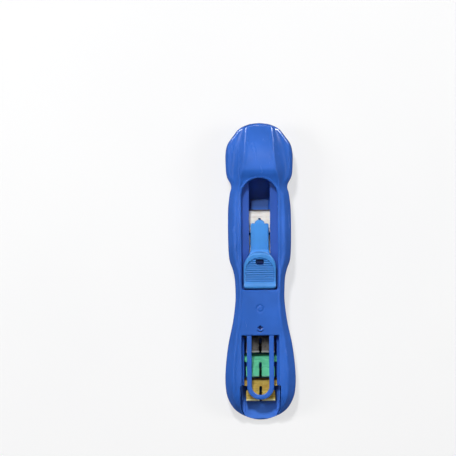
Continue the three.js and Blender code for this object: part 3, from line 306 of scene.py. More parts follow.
def crossing_quads(inside, number):
    """A quad round each grid edge that crosses the surface, from the numbered cells that share the edge."""
    quads = []
    for axis in range(3):
        u, v = [(1, 2), (2, 0), (0, 1)][axis]
        shape = list(inside.shape)
        shape[axis] -= 1
        low = [slice(0, n) for n in shape]
        high = list(low)
        high[axis] = slice(1, shape[axis] + 1)
        first, second = inside[tuple(low)], inside[tuple(high)]
        for flip in (False, True):
            hit = np.argwhere(~first & second if flip else first & ~second)
            keep = np.ones(len(hit), bool)
            for k in (u, v):
                keep &= (hit[:, k] > 0) & (hit[:, k] < inside.shape[k] - 1)
            hit = hit[keep]
            around = []
            for du, dv in ((1, 1), (0, 1), (0, 0), (1, 0)):
                cell = hit.copy()
                cell[:, u] -= du
                cell[:, v] -= dv
                around.append(number[cell[:, 0], cell[:, 1], cell[:, 2]])
            quad = np.stack(around, 1)
            quads.append(quad[:, ::-1] if flip else quad)
    return np.concatenate(quads)


def skin(field, grid):
    """Points, quads and smooth normals of the surface where the field is zero."""
    shape = tuple(len(a) for a in grid.axes)
    field = np.ascontiguousarray(np.broadcast_to(field, shape), dtype=np.float64)
    inside = field < 0
    nx, ny, nz = shape
    count = np.zeros((nx - 1, ny - 1, nz - 1), np.int8)
    for dx, dy, dz in CORNERS:
        count += inside[dx:nx - 1 + dx, dy:ny - 1 + dy, dz:nz - 1 + dz]
    active = (count > 0) & (count < 8)
    number = np.full(active.shape, -1, np.int64)
    number[active] = np.arange(active.sum())
    cells = np.argwhere(active)
    place = crossing_points(field, cells)

    # Draw each point onto the surface, and read its normal from the field
    longest_move, slack, least_slope = 0.35, 0.2, 0.05
    steps = np.stack([np.diff(axis)[cells[:, k]] for k, axis in enumerate(grid.axes)], 1)
    slopes = [np.gradient(field, grid.axes[k], axis=k) for k in range(3)]
    for _ in range(2):
        value = sample(field, place)
        slope = np.stack([sample(s, place) for s in slopes], 1)
        size = np.maximum((slope ** 2).sum(1), least_slope)
        move = np.clip(-(value / size)[:, None] * slope / steps, -longest_move, longest_move)
        place = np.clip(place + move, cells - slack, cells + (1 + slack))
    slope = np.stack([sample(s, place) for s in slopes], 1)
    normals = slope / np.maximum(np.linalg.norm(slope, axis=1), 1e-9)[:, None]
    points = np.stack([np.interp(place[:, k], np.arange(len(axis)), axis)
                       for k, axis in enumerate(grid.axes)], 1)
    return points, crossing_quads(inside, number), normals


def mesh_object(name, points, quads, normals=None):
    """A mesh piece in metres, smooth shaded."""
    mesh = bpy.data.meshes.new(name)
    mesh.vertices.add(len(points))
    mesh.vertices.foreach_set("co", (np.asarray(points) * MM).astype(np.float32).ravel())
    mesh.loops.add(quads.size)
    mesh.loops.foreach_set("vertex_index", quads.astype(np.int32).ravel())
    mesh.polygons.add(len(quads))
    mesh.polygons.foreach_set("loop_start", np.arange(0, quads.size, quads.shape[1], dtype=np.int32))
    mesh.update(calc_edges=True)
    mesh.validate()
    mesh.shade_smooth()
    if normals is not None:
        mesh.normals_split_custom_set_from_vertices([tuple(n) for n in normals])
    obj = bpy.data.objects.new(name, mesh)
    bpy.context.scene.collection.objects.link(obj)
    return obj


def face_centres(obj):
    """X, Y and Z of each face's middle, in millimetres."""
    centres = np.empty(len(obj.data.polygons) * 3, np.float32)
    obj.data.polygons.foreach_get("center", centres)
    return centres.reshape(-1, 3).astype(float).T / MM


def paint(obj, *painted):
    """Further materials, each on the faces marked for it."""
    index = np.zeros(len(obj.data.polygons), np.int32)
    for number, (material, marked) in enumerate(painted, 1):
        obj.data.materials.append(material)
        index[marked] = number
    obj.data.polygons.foreach_set("material_index", index)


def moulded(name, field, grid, material, slot, body, *nodes):
    """The skin of a field as a piece that stands for CAD nodes and rides with their body."""
    obj = mesh_object(name, *skin(field, grid))
    obj.data.materials.append(material)
    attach(obj, body)
    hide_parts(*nodes)
    return obj


# Materials

def srgb(r, g, b):
    """A colour from its 0 to 255 screen values."""
    def linear(c):
        c /= 255
        return c / 12.92 if c <= 0.04045 else ((c + 0.055) / 1.055) ** 2.4
    return (linear(r), linear(g), linear(b), 1.0)


class Nodes:
    """Short forms for making and joining a material's nodes."""

    def __init__(self, name):
        self.material = bpy.data.materials.new(name)
        self.material.use_nodes = True
        self.tree = self.material.node_tree
        self.shader = self.tree.nodes["Principled BSDF"]
        self.place = self.add("ShaderNodeTexCoord").outputs["Object"]

    def add(self, kind, **settings):
        node = self.tree.nodes.new(kind)
        for key, value in settings.items():
            setattr(node, key, value)
        return node

    def join(self, out, into):
        self.tree.links.new(out, into)

    def stretched(self, scale):
        node = self.add("ShaderNodeMapping")
        node.inputs["Scale"].default_value = scale
        self.join(self.place, node.inputs["Vector"])
        return node.outputs["Vector"]

    def parts(self, vector):
        node = self.add("ShaderNodeSeparateXYZ")
        self.join(vector, node.inputs["Vector"])
        return node.outputs

    def noise(self, scale, detail=2.0, rough=0.5, vector=None):
        node = self.add("ShaderNodeTexNoise")
        node.inputs["Scale"].default_value = scale
        node.inputs["Detail"].default_value = detail
        node.inputs["Roughness"].default_value = rough
        self.join(vector or self.place, node.inputs["Vector"])
        return node.outputs["Fac"]

    def spread(self, value, from_low, from_high, low, high):
        node = self.add("ShaderNodeMapRange")
        ends = {"From Min": from_low, "From Max": from_high, "To Min": low, "To Max": high}
        for key, number in ends.items():
            node.inputs[key].default_value = number
        self.join(value, node.inputs["Value"])
        return node.outputs["Result"]

    def mix(self, factor, a, b):
        node = self.add("ShaderNodeMix", data_type="RGBA")
        self.join(factor, node.inputs["Factor"])
        for socket, value in ((node.inputs["A"], a), (node.inputs["B"], b)):
            if isinstance(value, tuple):
                socket.default_value = value
            else:
                self.join(value, socket)
        return node.outputs["Result"]

    def bump(self, height, distance, strength=1.0, below=None):
        node = self.add("ShaderNodeBump")
        node.inputs["Distance"].default_value = distance
        node.inputs["Strength"].default_value = strength
        self.join(height, node.inputs["Height"])
        if below is not None:
            self.join(below, node.inputs["Normal"])
        return node.outputs["Normal"]


def tone(colour, by, plus=0.0):
    """The colour made darker or lighter."""
    return tuple(min(1.0, c * by + plus) for c in colour[:3]) + (1.0,)


def plastic(name, colour, roughness, grain=0.35, gloss=0.5, painted_shade=None):
    """Moulded plastic: slight flow clouds, a fine grain, hairline scuffs, a painted highlight on convex edges
    and painted shade in hollows.

    The last argument, if given, is painted shade: a darker colour and the two Y places, in millimetres,
    between which the plastic turns to it.
    """
    n = Nodes(name)
    clouds = n.spread(n.noise(70, 3), 0.3, 0.7, 0.0, 1.0)
    body = n.mix(clouds, tone(colour, 0.86), tone(colour, 1.1, 0.004))
    # Painted shade: forward of the given Y places the plastic turns most of the way to the darker colour
    if painted_shade:
        shade_colour, start, end = painted_shade
        body = n.mix(n.spread(n.parts(n.place)["Y"], start * MM, end * MM, 0, 0.8), body, shade_colour)
    # Painted highlight on convex edges, and painted shade in hollows and creases, both read from the mesh's
    # pointiness
    ridge = n.add("ShaderNodeNewGeometry").outputs["Pointiness"]
    edge_highlight = n.spread(ridge, 0.505, 0.56, 0.0, 0.25)
    hollow_shade = n.spread(ridge, 0.40, 0.49, 0.45, 0.0)
    face = n.mix(hollow_shade, n.mix(edge_highlight, body, tone(colour, 1.25, 0.03)), tone(colour, 0.4))
    n.join(face, n.shader.inputs["Base Color"])
    scuffs = n.noise(260, 4, 0.6, n.stretched((1.0, 0.12, 1.0)))
    n.join(n.spread(scuffs, 0.45, 0.75, roughness, roughness + 0.05), n.shader.inputs["Roughness"])
    n.shader.inputs["IOR"].default_value = 1.5
    n.shader.inputs["Specular IOR Level"].default_value = gloss
    fine = n.bump(n.noise(2600, 2), 0.00002, grain)
    n.join(n.bump(n.noise(240, 2), 0.00005, 0.25, fine), n.shader.inputs["Normal"])
    return n.material


def metal(name, colour, dark, roughness, metallic, mottle, spine_highlight=0.2, lip=(0.925, 0.05)):
    """Rolled sheet: fine lines along the strip, mottled plating, a painted highlight along the spine, a
    painted shadow over the mouth and painted shade inside.

    lip is where along the clip the mouth's painted shadow starts, and how much of the colour is left there.
    """
    n = Nodes(name)
    patches = n.spread(n.noise(420, 5, 0.65), 0.42, 0.66, 0.0, mottle)
    face = n.mix(patches, colour, dark)
    along = n.parts(n.add("ShaderNodeTexCoord").outputs["Generated"])["Y"]
    # Painted highlight: a pale line along the spine's edge
    face = n.mix(n.spread(along, 0.075, 0.1, spine_highlight, 0.0), face, tone(colour, 1.2, 0.4))
    # Painted shadow: the mouth turns to a dim copy of the dark colour
    mouth_shadow_start, mouth_shadow_tone = lip
    face = n.mix(n.spread(along, mouth_shadow_start, mouth_shadow_start + 0.03, 0.0, 0.9), face, tone(dark, mouth_shadow_tone))
    # Painted shade: the sheet turns nearly black below a little above its middle plane, inside the fold and
    # on its lower half
    inner_shade = n.spread(n.parts(n.place)["Z"], (MID_Z - 1.0) * MM, (MID_Z + 0.3) * MM, 1.0, 0.0)
    n.join(n.mix(inner_shade, face, tone(dark, 0.08)), n.shader.inputs["Base Color"])
    lines = n.noise(900, 3, 0.6, n.stretched((0.08, 1.0, 1.0)))
    n.join(n.spread(lines, 0.35, 0.7, roughness - 0.08, roughness + 0.14), n.shader.inputs["Roughness"])
    n.shader.inputs["Metallic"].default_value = metallic
    n.join(n.bump(lines, 0.00003, 0.5), n.shader.inputs["Normal"])
    return n.material


SHELL = plastic("shell_blue", srgb(42, 100, 196), 0.24)
# A lighter, matt copy of the shell blue: painted light on inner faces that sit in shade
LIGHTENED_INSIDE = plastic("shell_inside_lightened", srgb(48, 106, 214), 0.5, gloss=0.15)
# The tray floor turns darker from Y 26 mm forward, most of the way by 28 mm: painted shade under the hood
TRAY = plastic("tray_blue", srgb(62, 116, 212), 0.42, gloss=0.15, painted_shade=(srgb(52, 58, 84), 26.0, 28.0))
# A darker, more purple copy of the shell blue: painted shade on the recess floor
SHADED_TRACK = plastic("track_blue_shaded", srgb(46, 88, 176), 0.4, gloss=0.25)
# A darker copy of the blue: painted shade under the hood
SHADED_RAIL = plastic("rail_blue_shaded", srgb(34, 62, 132), 0.45, gloss=0.15)
SLIDER = plastic("slider_blue", srgb(64, 139, 216), 0.38, gloss=0.35)
# A darker copy of the slider blue with a coarser grain: painted shade in the ribbed dish
SHADED_GRIP = plastic("slider_grip_shaded", srgb(50, 122, 200), 0.5, grain=0.8)
# A dark navy copy of the blue: painted shade in the pad's hole
SHADED_RETAINER = plastic("retainer_blue_shaded", srgb(24, 48, 104), 0.5, gloss=0.25)
# A dark copy of the shell blue: painted shade in the sunk marks
SHADED_MARK = plastic("mark_blue_shaded", srgb(24, 52, 120), 0.5, gloss=0.25)
# Near-white and barely metallic: the steel's brightness is a painted reflection
STEEL_PAINTED_REFLECTION = metal("steel_painted_reflection", srgb(252, 248, 240), srgb(248, 230, 210), 0.28, metallic=0.12, mottle=0.4)
# Clip 6 and the gold clip carry a strong painted highlight along the spine
DARK_STEEL = metal("mottled_steel", srgb(104, 102, 98), srgb(30, 26, 26), 0.34, metallic=0.6, mottle=0.95,
                   spine_highlight=1.0)
# The green and gold clips' painted shadow over the mouth starts further back
GREEN = metal("green_lacquer", srgb(102, 213, 165), srgb(84, 196, 148), 0.3, metallic=0.25, mottle=0.6,
              lip=(0.89, 0.12))
GOLD = metal("gold_lacquer", srgb(208, 180, 86), srgb(184, 142, 56), 0.3, metallic=0.35, mottle=0.9,
             spine_highlight=0.8, lip=(0.89, 0.08))


# Upper shell: lines along the cover, each from the nose to the tail

# The top's height at its flat middle, and half of that middle's width
crest_z = through([
    (NOSE_Y, HOOD_FRONT_Z - 1.9), (NOSE_Y - 0.9, HOOD_FRONT_Z - 0.6), (NOSE_Y - 2.4, HOOD_FRONT_Z),
    (ARCH_Y + 7.4, HOOD_PEAK_Z - 0.5), (ARCH_Y + 3.9, HOOD_PEAK_Z), (ARCH_Y + 1.95, HOOD_PEAK_Z - 0.6),
    (ARCH_Y, HOOD_PEAK_Z - 1.8), (NOTCH_Y + 0.7, RIDGE_Z + 0.5), (NOTCH_Y - 3, RIDGE_Z),
    (RECESS_REAR_Y, RIDGE_Z - 0.2), (WINDOW_Y, COVER_REAR_Z), (TAIL_Y + 18, BULB_Z),
    (TAIL_Y + 11, BULB_Z - 0.7), (TAIL_Y + 6, BULB_Z - 3.4), (TAIL_Y + 3.5, BULB_Z - 5.9),
    (TAIL_Y + 1.6, TOP_SHELL_Z + 0.9), (TAIL_Y, TOP_SHELL_Z + 0.5),
])
crest_half = through([
    (NOSE_Y, 3.78), (NOSE_Y - 2.4, 5.7), (NOSE_Y - 11.5, 6.3), (NOSE_Y - 18, 7.2),
    (ARCH_Y, RECESS_HALF + 0.7), (NOTCH_Y, RECESS_HALF + 1.3),
    (NOTCH_Y - 5, RECESS_HALF + 1.8), (RECESS_REAR_Y + 17, RECESS_HALF + 1.8),
    (RECESS_REAR_Y + 8, RECESS_HALF + 1.1), (RECESS_REAR_Y - 1, RECESS_HALF + 0.3),
    (RECESS_REAR_Y - 12, RECESS_HALF + 0.5), (WINDOW_Y - 3, REAR_OPENING_HALF + 1),
    (TAIL_Y + 18, REAR_OPENING_HALF + 2), (TAIL_Y + 10, REAR_OPENING_HALF + 1.8),
    (TAIL_Y + 5, REAR_OPENING_HALF + 0.4), (TAIL_Y, 4.5),
])
# The height at the outline, and how far the flank between fold and crest swells
edge_z = through([
    (NOSE_Y, HOOD_FRONT_Z - 3), (NOSE_Y - 8, HOOD_FRONT_Z - 2.9), (NOSE_Y - 18, HOOD_FRONT_Z - 2.2),
    (NOTCH_Y, RIDGE_Z - 3.6), (NOTCH_Y - 6, RIDGE_Z - 4.4), (RECESS_REAR_Y, RIDGE_Z - 3.2),
    (WINDOW_Y, COVER_REAR_Z - 3.8), (TAIL_Y + 18, BULB_Z - 4), (TAIL_Y + 8, BULB_Z - 5.2),
    (TAIL_Y + 3, TOP_SHELL_Z + 0.8), (TAIL_Y, TOP_SHELL_Z + 0.3),
])
bulge = through([
    (NOSE_Y, 0), (NOSE_Y - 4, -0.7), (NOSE_Y - 12, -1.3), (NOSE_Y - 19, -1.4), (NOTCH_Y + 2, -0.3),
    (NOTCH_Y - 3, 0.6), (TAIL_Y + 12, 0.9), (TAIL_Y + 3, 0.2),
])

# The fold between the cover's top and its flank: how far inside the edge it runs, and how far above
fold_inset = through([
    (NOSE_Y, 0.5), (NOSE_Y - 9, 0.65), (NOSE_Y - 14, 1.1), (NOTCH_Y + 2, 1.5), (NOTCH_Y - 8, 2.2),
    (RECESS_REAR_Y + 17, 2.2), (RECESS_REAR_Y, 1.5), (WINDOW_Y + 6, 1.6), (WINDOW_Y - 10, 2.5),
    (TAIL_Y + 14, 2.7), (TAIL_Y + 5, 2.2), (TAIL_Y, 1.2),
])
fold_rise = through([
    (NOSE_Y, 1.2), (NOSE_Y - 8, 1.9), (NOSE_Y - 18, 1.9), (NOTCH_Y, 2.2), (NOTCH_Y - 6, 3.3),
    (RECESS_REAR_Y + 17, 3.3), (RECESS_REAR_Y, 2.2), (WINDOW_Y, 2.6), (TAIL_Y + 18, 3.1), (TAIL_Y + 8, 2.6),
    (TAIL_Y + 3, 0.9), (TAIL_Y, 0.3),
])

# The fine ridge each side: how far out it runs, and how high
ridge_x = through([
    (NOSE_Y - 2.4, 5.3), (NOSE_Y - 11.5, 5.9), (NOSE_Y - 18, 6.5), (ARCH_Y, 7.9),
    (NOTCH_Y, RECESS_HALF + 0.8), (RECESS_REAR_Y, RECESS_HALF + 0.8),
])
ridge_height = through([
    (NOSE_Y - 1, 0), (NOSE_Y - 4, 0.16), (ARCH_Y + 8, 0.14), (ARCH_Y + 4, 0.12), (ARCH_Y, 0.35),
    (NOTCH_Y - 4, 0.4), (RECESS_REAR_Y + 6, 0.35), (RECESS_REAR_Y, 0.1), (RECESS_REAR_Y - 4, 0),
])


def bell(places, width):
    """Weights that take a running mean along uneven places."""
    weights = np.exp(-0.5 * ((places[:, None] - places[None, :]) / width) ** 2) * np.gradient(places)[None, :]
    return weights / weights.sum(1, keepdims=True)


def top_heights(grid, width=0.32):
    """Height of the cover at each place, and how much longer its slope is than its plan."""
    xs, ys = grid.axes[0], grid.axes[1]
    half = np.maximum(half_width(ys), 0.6)
    shoulder = 0.86 * half
    fold = np.maximum(half - fold_inset(ys), shoulder)
    crest = np.minimum(np.minimum(crest_half(ys), shoulder), np.maximum(fold - 0.7, half / 2))
    high = np.maximum(crest_z(ys), edge_z(ys) + 0.2)
    fold_z = np.minimum(edge_z(ys) + fold_rise(ys), high - 0.1)
    across = np.abs(xs)[:, None]
    t = np.clip((across - crest) / (fold - crest), 0, 1)
    top = high + t * (fold_z - high) + 4 * bulge(ys) * t * (1 - t)
    flank = (edge_z(ys) - fold_z) * np.clip((across - fold) / (half - fold), 0, 1.5)
    heights = bell(xs, width) @ (top + flank) @ bell(ys, width + 0.1).T
    ridge_width = 0.62
    heights = heights + ridge_height(ys) * np.exp(-((across - ridge_x(ys)) / ridge_width) ** 2)
    heights = np.minimum(heights, HIGHEST_Z)
    slopes = np.gradient(heights, xs, ys)
    stretch = np.sqrt(1 + slopes[0] ** 2 + slopes[1] ** 2)
    return heights[:, :, None], stretch[:, :, None]


def pin_places():
    """Where the four pins stand that locate one shell on the other."""
    out = []
    for y, inner in ((ARCH_Y - 17.6, RECESS_HALF + SKIRT), (TAIL_Y + 22, REAR_OPENING_HALF + SKIRT)):
        x = (inner + float(half_width(y)) - SHELL_WALL) / 2
        out += [(-x, y), (x, y)]
    return out


PINS = pin_places()


def recess_outline(grow=0.0):
    """The thumb recess, grown all round."""
    return slot_outline(RECESS_HALF + grow, RECESS_REAR_Y - grow, ARCH_Y + grow, PAD_CORNER + grow)


def side_lips(g):
    """A lip and a low shelf along each of the slots beside the tongue."""
    ledge_z = CLIP_TOP_Z + GAP
    ends = np.maximum(WINDOW_Y - SIDE_SLOT_LENGTH - g.y, g.y - WINDOW_Y - 1)
    bounds = np.maximum(np.maximum(ends, np.abs(g.x) - REAR_OPENING_HALF - 1), ledge_z - g.z)
    lips = both(SIDE_SLOT_HALF - np.abs(g.x), bounds)
    shelf = both(both(SHELF_HALF - np.abs(g.x), g.z - ledge_z - SHELF_THICKNESS, 0.2), bounds)
    return either(lips, shelf)


def cover_cavity(g, outline, above, lips):
    """The room inside the cover, less the walls, lips and pin bosses that stand in it."""
    inner = both(both(outline + SHELL_WALL, above + SHELL_TOP, 0.8), g.y - CAVITY_FRONT_Y)
    rear_walls = without(plan(g, rear_outline(SKIRT)), plan(g, rear_outline(0, WINDOW_Y + 4, 8)))
    skirt = both(plan(g, recess_outline(SKIRT)), PAD_Z - g.z)
    inner = without(without(inner, rear_walls, 0.2), skirt, 0.2)
    inner = without(inner, lips)
    for x, y in PINS:
        inner = without(inner, column(g, x, y, PIN_BOSS_RADIUS))
    return inner


def cut_openings(g, shell, around, lips):
    """The openings, with the rolled edge that moulded openings have."""
    shell = without(shell, both(around, PAD_Z - GAP - g.z), 0.28)
    shell = without(shell, without(plan(g, rear_outline(0, WINDOW_Y, 8)), lips), 0.2)
    shell = without(shell, both(NOTCH_Y - g.y, g.z - SLIT_HIGH_Z), 0.25)
    behind = CAVITY_FRONT_Y - 1
    shell = without(shell, block(g, -NOSE_CHANNEL_HALF, NOSE_CHANNEL_HALF, behind, NOSE_Y + 4, 0, TRACK_Z))
    seat = TRACK_HALF + GAP
    shell = without(shell, block(g, -seat, seat, WINDOW_Y - GAP, ARCH_Y + 1.7, 0, PAD_Z))
    arm_top = TRACK_TOP_Z + (ARM_TIP_Y - ARM_ROOT_Y) * math.sin(ARM_LIFT) + 0.9
    return without(shell, block(g, -SLOT_HALF, SLOT_HALF, behind, ARM_TIP_Y + 30, TRACK_Z - 1, arm_top))


def upper_shell():
    """The cover, with finer steps where its small forms are."""
    right = spaced((0, 0.2), (1.6, 0.42), (5.2, 0.3), (15.6, 0))
    xs = np.concatenate([-right[:0:-1], right])
    ys = spaced((-63.6, 0.35), (-54, 0.6), (-48, 0.5), (-28, 0.28), (-22, 0.5), (-17, 0.3), (-13, 0.6),
                (-9, 0.4), (-6, 0.7), (30, 0.45), (34, 0.3), (42, 0.45), (52, 0.35), (63.6, 0))
    g = Grid(xs, ys, spaced((3.6, 0.34), (8.5, 0.3), (19, 0)))
    outline = plan(g, OUTLINE) + OUTLINE_INSET
    heights, stretch = top_heights(g)

    # A thin raised lip round the thumb recess, which fades out towards its rear
    around = plan(g, recess_outline())
    lip_height, lip_away, lip_width, lip_fade = 0.26, 0.45, 0.3, 30
    lip = lip_height * np.exp(-((around - lip_away) / lip_width) ** 2)
    lip = lip * np.clip((g.y - RECESS_REAR_Y) / lip_fade, 0, 1)
    above = (g.z - np.minimum(heights + lip, HIGHEST_Z)) / stretch
    outer = both(both(outline, above, 0.5), TOP_SHELL_Z - g.z, 0.15)

    lips = side_lips(g)
    shell = without(outer, cover_cavity(g, outline, above, lips))
    for x, y in PINS:
        shell = without(shell, both(column(g, x, y, PIN_HOLE_RADIUS), g.z - PIN_TOP_Z - GAP))
    shell = cut_openings(g, shell, around, lips)

    # Shallow marks: a ring, a diamond and a chevron
    ring_y, ring_radius, line_half = (RECESS_REAR_Y + WINDOW_Y) / 2 + 1.8, 1.32, 0.28
    ring = np.abs(column(g, 0, ring_y, ring_radius)) - line_half
    dy, cy = WINDOW_Y + 3.3, WINDOW_Y + 2.3
    diamond = plan(g, [(-1.2, dy), (0, dy - 0.85), (1.2, dy), (0, dy + 0.85)])
    chevron = plan(g, [(-1.3, cy), (-1.3, cy - 0.35), (0, cy - 1.1), (1.3, cy - 0.35), (1.3, cy),
                       (0, cy - 0.75)])
    for mark, depth in ((ring, 0.25), (diamond, 0.7), (chevron, 0.5)):
        shell = without(shell, both(mark, -(above + depth), 0.05), 0.05)
    shell = without(shell, g.y - TAIL_CUT_Y, 0.3)
    obj = moulded("upper_shell", shell, g, SHELL, "shell", "housing", "top_shell")

    # The lips' undersides and shelves are matt and in a lighter copy of the blue, painted light in their
    # shade, and two of the marks are darker, painted shade in their hollows
    x, y, z = face_centres(obj)
    side = np.abs(x)
    low = (side < SIDE_SLOT_HALF) & (y > WINDOW_Y - SIDE_SLOT_LENGTH - 0.3) & (y < WINDOW_Y) & (z < 10.3)
    sunk = side / 1.3 + np.abs(y - dy) / 0.95 < 1
    chevron_y = cy - 0.92 + 0.577 * side
    sunk |= (side < 1.35) & (np.abs(y - chevron_y) < 0.2)
    paint(obj, (LIGHTENED_INSIDE, low), (SHADED_MARK, sunk & (z > BULB_Z)))


def lower_shell():
    """The tray-like lower cover, with its pins and the tabs beside them."""
    g = Grid(*even((-15.6, -63.6, -0.6), (15.6, 63.6, 9.2), (0.34, 0.46, 0.3)))
    outline = plan(g, OUTLINE) + OUTLINE_INSET
    shell = both(outline, -g.z, 1.4)
    shell = both(shell, g.z - SLIT_LOW_Z, 0.25)
    behind = g.y - CAVITY_FRONT_Y
    pocket = both(outline + RIM_WALL, behind)
    pocket = either(pocket, both(np.abs(g.x) - NOSE_CHANNEL_HALF, -behind - 1))
    pocket = either(pocket, both(plan(g, rear_outline(0, WINDOW_Y, 8)), g.y + 50))
    pocket = either(pocket, g.y - TAIL_CUT_Y)
    shell = without(shell, both(pocket, BOTTOM_WALL - g.z))

    # At each pin a tab reaches up inside the cover, and leaves room for the pin's boss
    tab_outer, tab_inner, tab_half, tab_height, root_z = 1.5, 2.3, 7.5, 1.0, 1.0
    for x, y in PINS:
        tab = both(both(outline + tab_outer, -(outline + tab_inner)),
                   both(g.z - SLIT_LOW_Z - tab_height, root_z - g.z))
        tab = both(tab, both(np.abs(g.y - y) - tab_half, -(g.x * np.sign(x))))
        tab = without(tab, both(column(g, x, y, PIN_BOSS_RADIUS + GAP), SLIT_LOW_Z + 0.1 - g.z))
        shell = either(shell, tab)
        shell = either(shell, both(column(g, x, y, PIN_RADIUS), both(g.z - PIN_TOP_Z, root_z - g.z)))
    obj = moulded("lower_shell", shell, g, SHELL, "shell", "housing", "bottom_shell")
    x, y, z = face_centres(obj)
    under_track = (np.abs(x) < TRACK_HALF) & (y > TAIL_Y + 2) & (y < NOSE_Y - 6)
    # The floor under the track is matt and in a lighter copy of the blue: painted light in its shade
    paint(obj, (LIGHTENED_INSIDE, under_track & (np.abs(z - BOTTOM_WALL) < 0.3)))


# Slider, arm and tongue

def thumb_pad():
    """The ribbed pad, with its shoulders, its hole and the stem that runs in the track's slot."""
    g = Grid(*even((-7.4, -8.0, 9.7), (7.4, 10.6, 16.4), (0.17, 0.13, 0.16)))
    band_front, dish_front = PAD_REAR_Y + 2.9, PAD_FRONT_Y - 2.5
    front_top, dip_top, rear_top = PAD_Z + 4.1, PAD_Z + 2.3, PAD_Z + 3.8
    rim = 0.45
    crown = through([
        (PAD_REAR_Y - 1, rear_top - 0.9), (PAD_REAR_Y + 0.2, rear_top - 0.25), (PAD_REAR_Y + 0.9, rear_top),
        (band_front - 0.6, dip_top + rim + 0.15), (band_front + 0.6, dip_top + rim),
        (dish_front - 0.8, front_top - 0.05), (PAD_FRONT_Y - 1.6, front_top),
        (PAD_FRONT_Y - 0.7, front_top - 0.45), (PAD_FRONT_Y, front_top - 1.5),
        (PAD_FRONT_Y + 1, front_top - 3.2),
    ])
    heights = crown(g.y)
    slope = np.gradient(heights[0, :, 0], g.axes[1])[None, :, None]
    above = (g.z - heights) / np.sqrt(1 + slope ** 2)
    outline = plan(g, slot_outline(PAD_HALF, PAD_REAR_Y, PAD_FRONT_Y, PAD_CORNER))
    pad = both(both(outline, above, 0.45), PAD_Z - g.z, 0.1)

    # Dish: a floor that climbs forward in steps of ribs, inside a raised rim
    ribs, rib_height = 11, 0.3
    pitch = (dish_front - band_front) / ribs
    climb = (front_top - rim - dip_top) / (dish_front - band_front)
    along = g.y - band_front
    wave = 0.5 - 0.5 * np.cos(2 * math.pi * along / pitch)
    ribbed = dip_top + climb * along - 0.1 + rib_height * wave ** 0.8
    dish_outline = slot_outline(PAD_HALF - 0.6, band_front, dish_front, 0.5)
    dish = both(plan(g, dish_outline), (ribbed - g.z) * 0.85, 0.1)
    pad = without(pad, dish, 0.12)

    # Shoulders that flow from the pad into the arm's root
    neck_half, neck_y, neck_reach = 3.95, 6.7, 2.7
    strip = np.maximum(np.abs(g.x) - neck_half, np.abs(g.y - neck_y) - neck_reach)
    bounds = np.maximum(np.abs(g.x) - PAD_HALF, g.y - neck_y - neck_reach)
    collar = both(either(outline, strip, 1.6), bounds)
    collar = both(both(collar, g.z - PAD_Z - 0.9, 0.3), PAD_Z + 0.15 - g.z)
    pad = either(pad, collar, 0.5)

    # Stem below, and the square hole with a step at its rear
    hole_front = PAD_FRONT_Y - 3.4
    hole_rear, hole_half = hole_front - 2.2, 1.57
    stem = block(g, -4.15, 4.15, PAD_REAR_Y + 1.7, ARM_ROOT_Y - GAP, TRACK_Z, PAD_Z + 0.1)
    pad = np.minimum(pad, stem)
    for rear, low in ((hole_rear + 0.6, TRACK_Z - 1), (hole_rear, PAD_Z + 1.1)):
        pad = without(pad, block(g, -hole_half, hole_half, rear, hole_front, low, 20), 0.12)
    obj = moulded("thumb_pad", pad, g, SLIDER, "slider", "slider", "thumb_slider")

    # The ribbed floor is left matt, in a darker copy of the slider blue: painted shade in the dish
    x, y, z = face_centres(obj)
    inside = np.zeros(len(x), bool)
    for (ax, ay), (bx, by) in zip(dish_outline, np.roll(dish_outline, -1, 0)):
        if ay != by:
            inside ^= ((ay > y) != (by > y)) & (x < ax + (y - ay) * (bx - ax) / (by - ay))
    level = dip_top + climb * (y - band_front) + 0.28
    paint(obj, (SHADED_GRIP, inside & (z < level) & (z > PAD_Z + 1.2)))


def arm():
    """The flexing arm: a blade with a rounded nib, and the tooth that takes hold of the front clip."""
    g = Grid(*even((-4.4, 6.6, 6.3), (4.4, 22.7, 11.7), (0.15, 0.18, 0.15)))
    nib_half, nib_length, corner = 2.1, 1.6, 0.6
    shoulder = ARM_TIP_Y - nib_length
    nib = [(nib_half * math.cos(a), shoulder + nib_length * math.sin(a)) for a in np.linspace(0, math.pi, 24)]
    loop = ([(-ARM_HALF, ARM_ROOT_Y), (ARM_HALF, ARM_ROOT_Y)]
            + arc(ARM_HALF - corner, shoulder - corner, corner, 0, math.pi / 2, 8) + nib
            + arc(-ARM_HALF + corner, shoulder - corner, corner, math.pi / 2, math.pi, 8))
    crown = TRACK_TOP_Z - 0.16 * (g.x / ARM_HALF) ** 2
    nib_top = -0.35 * np.clip((g.y - shoulder + 0.5) / 2.1, 0, 1) ** 2
    blade = both(plan(g, loop), g.z - crown - nib_top, 0.35)
    low = TRACK_TOP_Z - ARM_THICKNESS
    blade = both(blade, low - g.z, 0.15)
    tooth = profile(g, [(ARM_TIP_Y - 2.7, low + 0.2), (ARM_TIP_Y - 0.15, low + 0.2),
                        (ARM_TIP_Y - 0.05, low - 3.2), (ARM_TIP_Y - 0.65, low - 3.2)])
    blade = either(blade, both(tooth, np.abs(g.x) - TOOTH_HALF), 0.15)
    moulded("flexing_arm", blade, g, SLIDER, "slider", "arm", "pusher_arm")


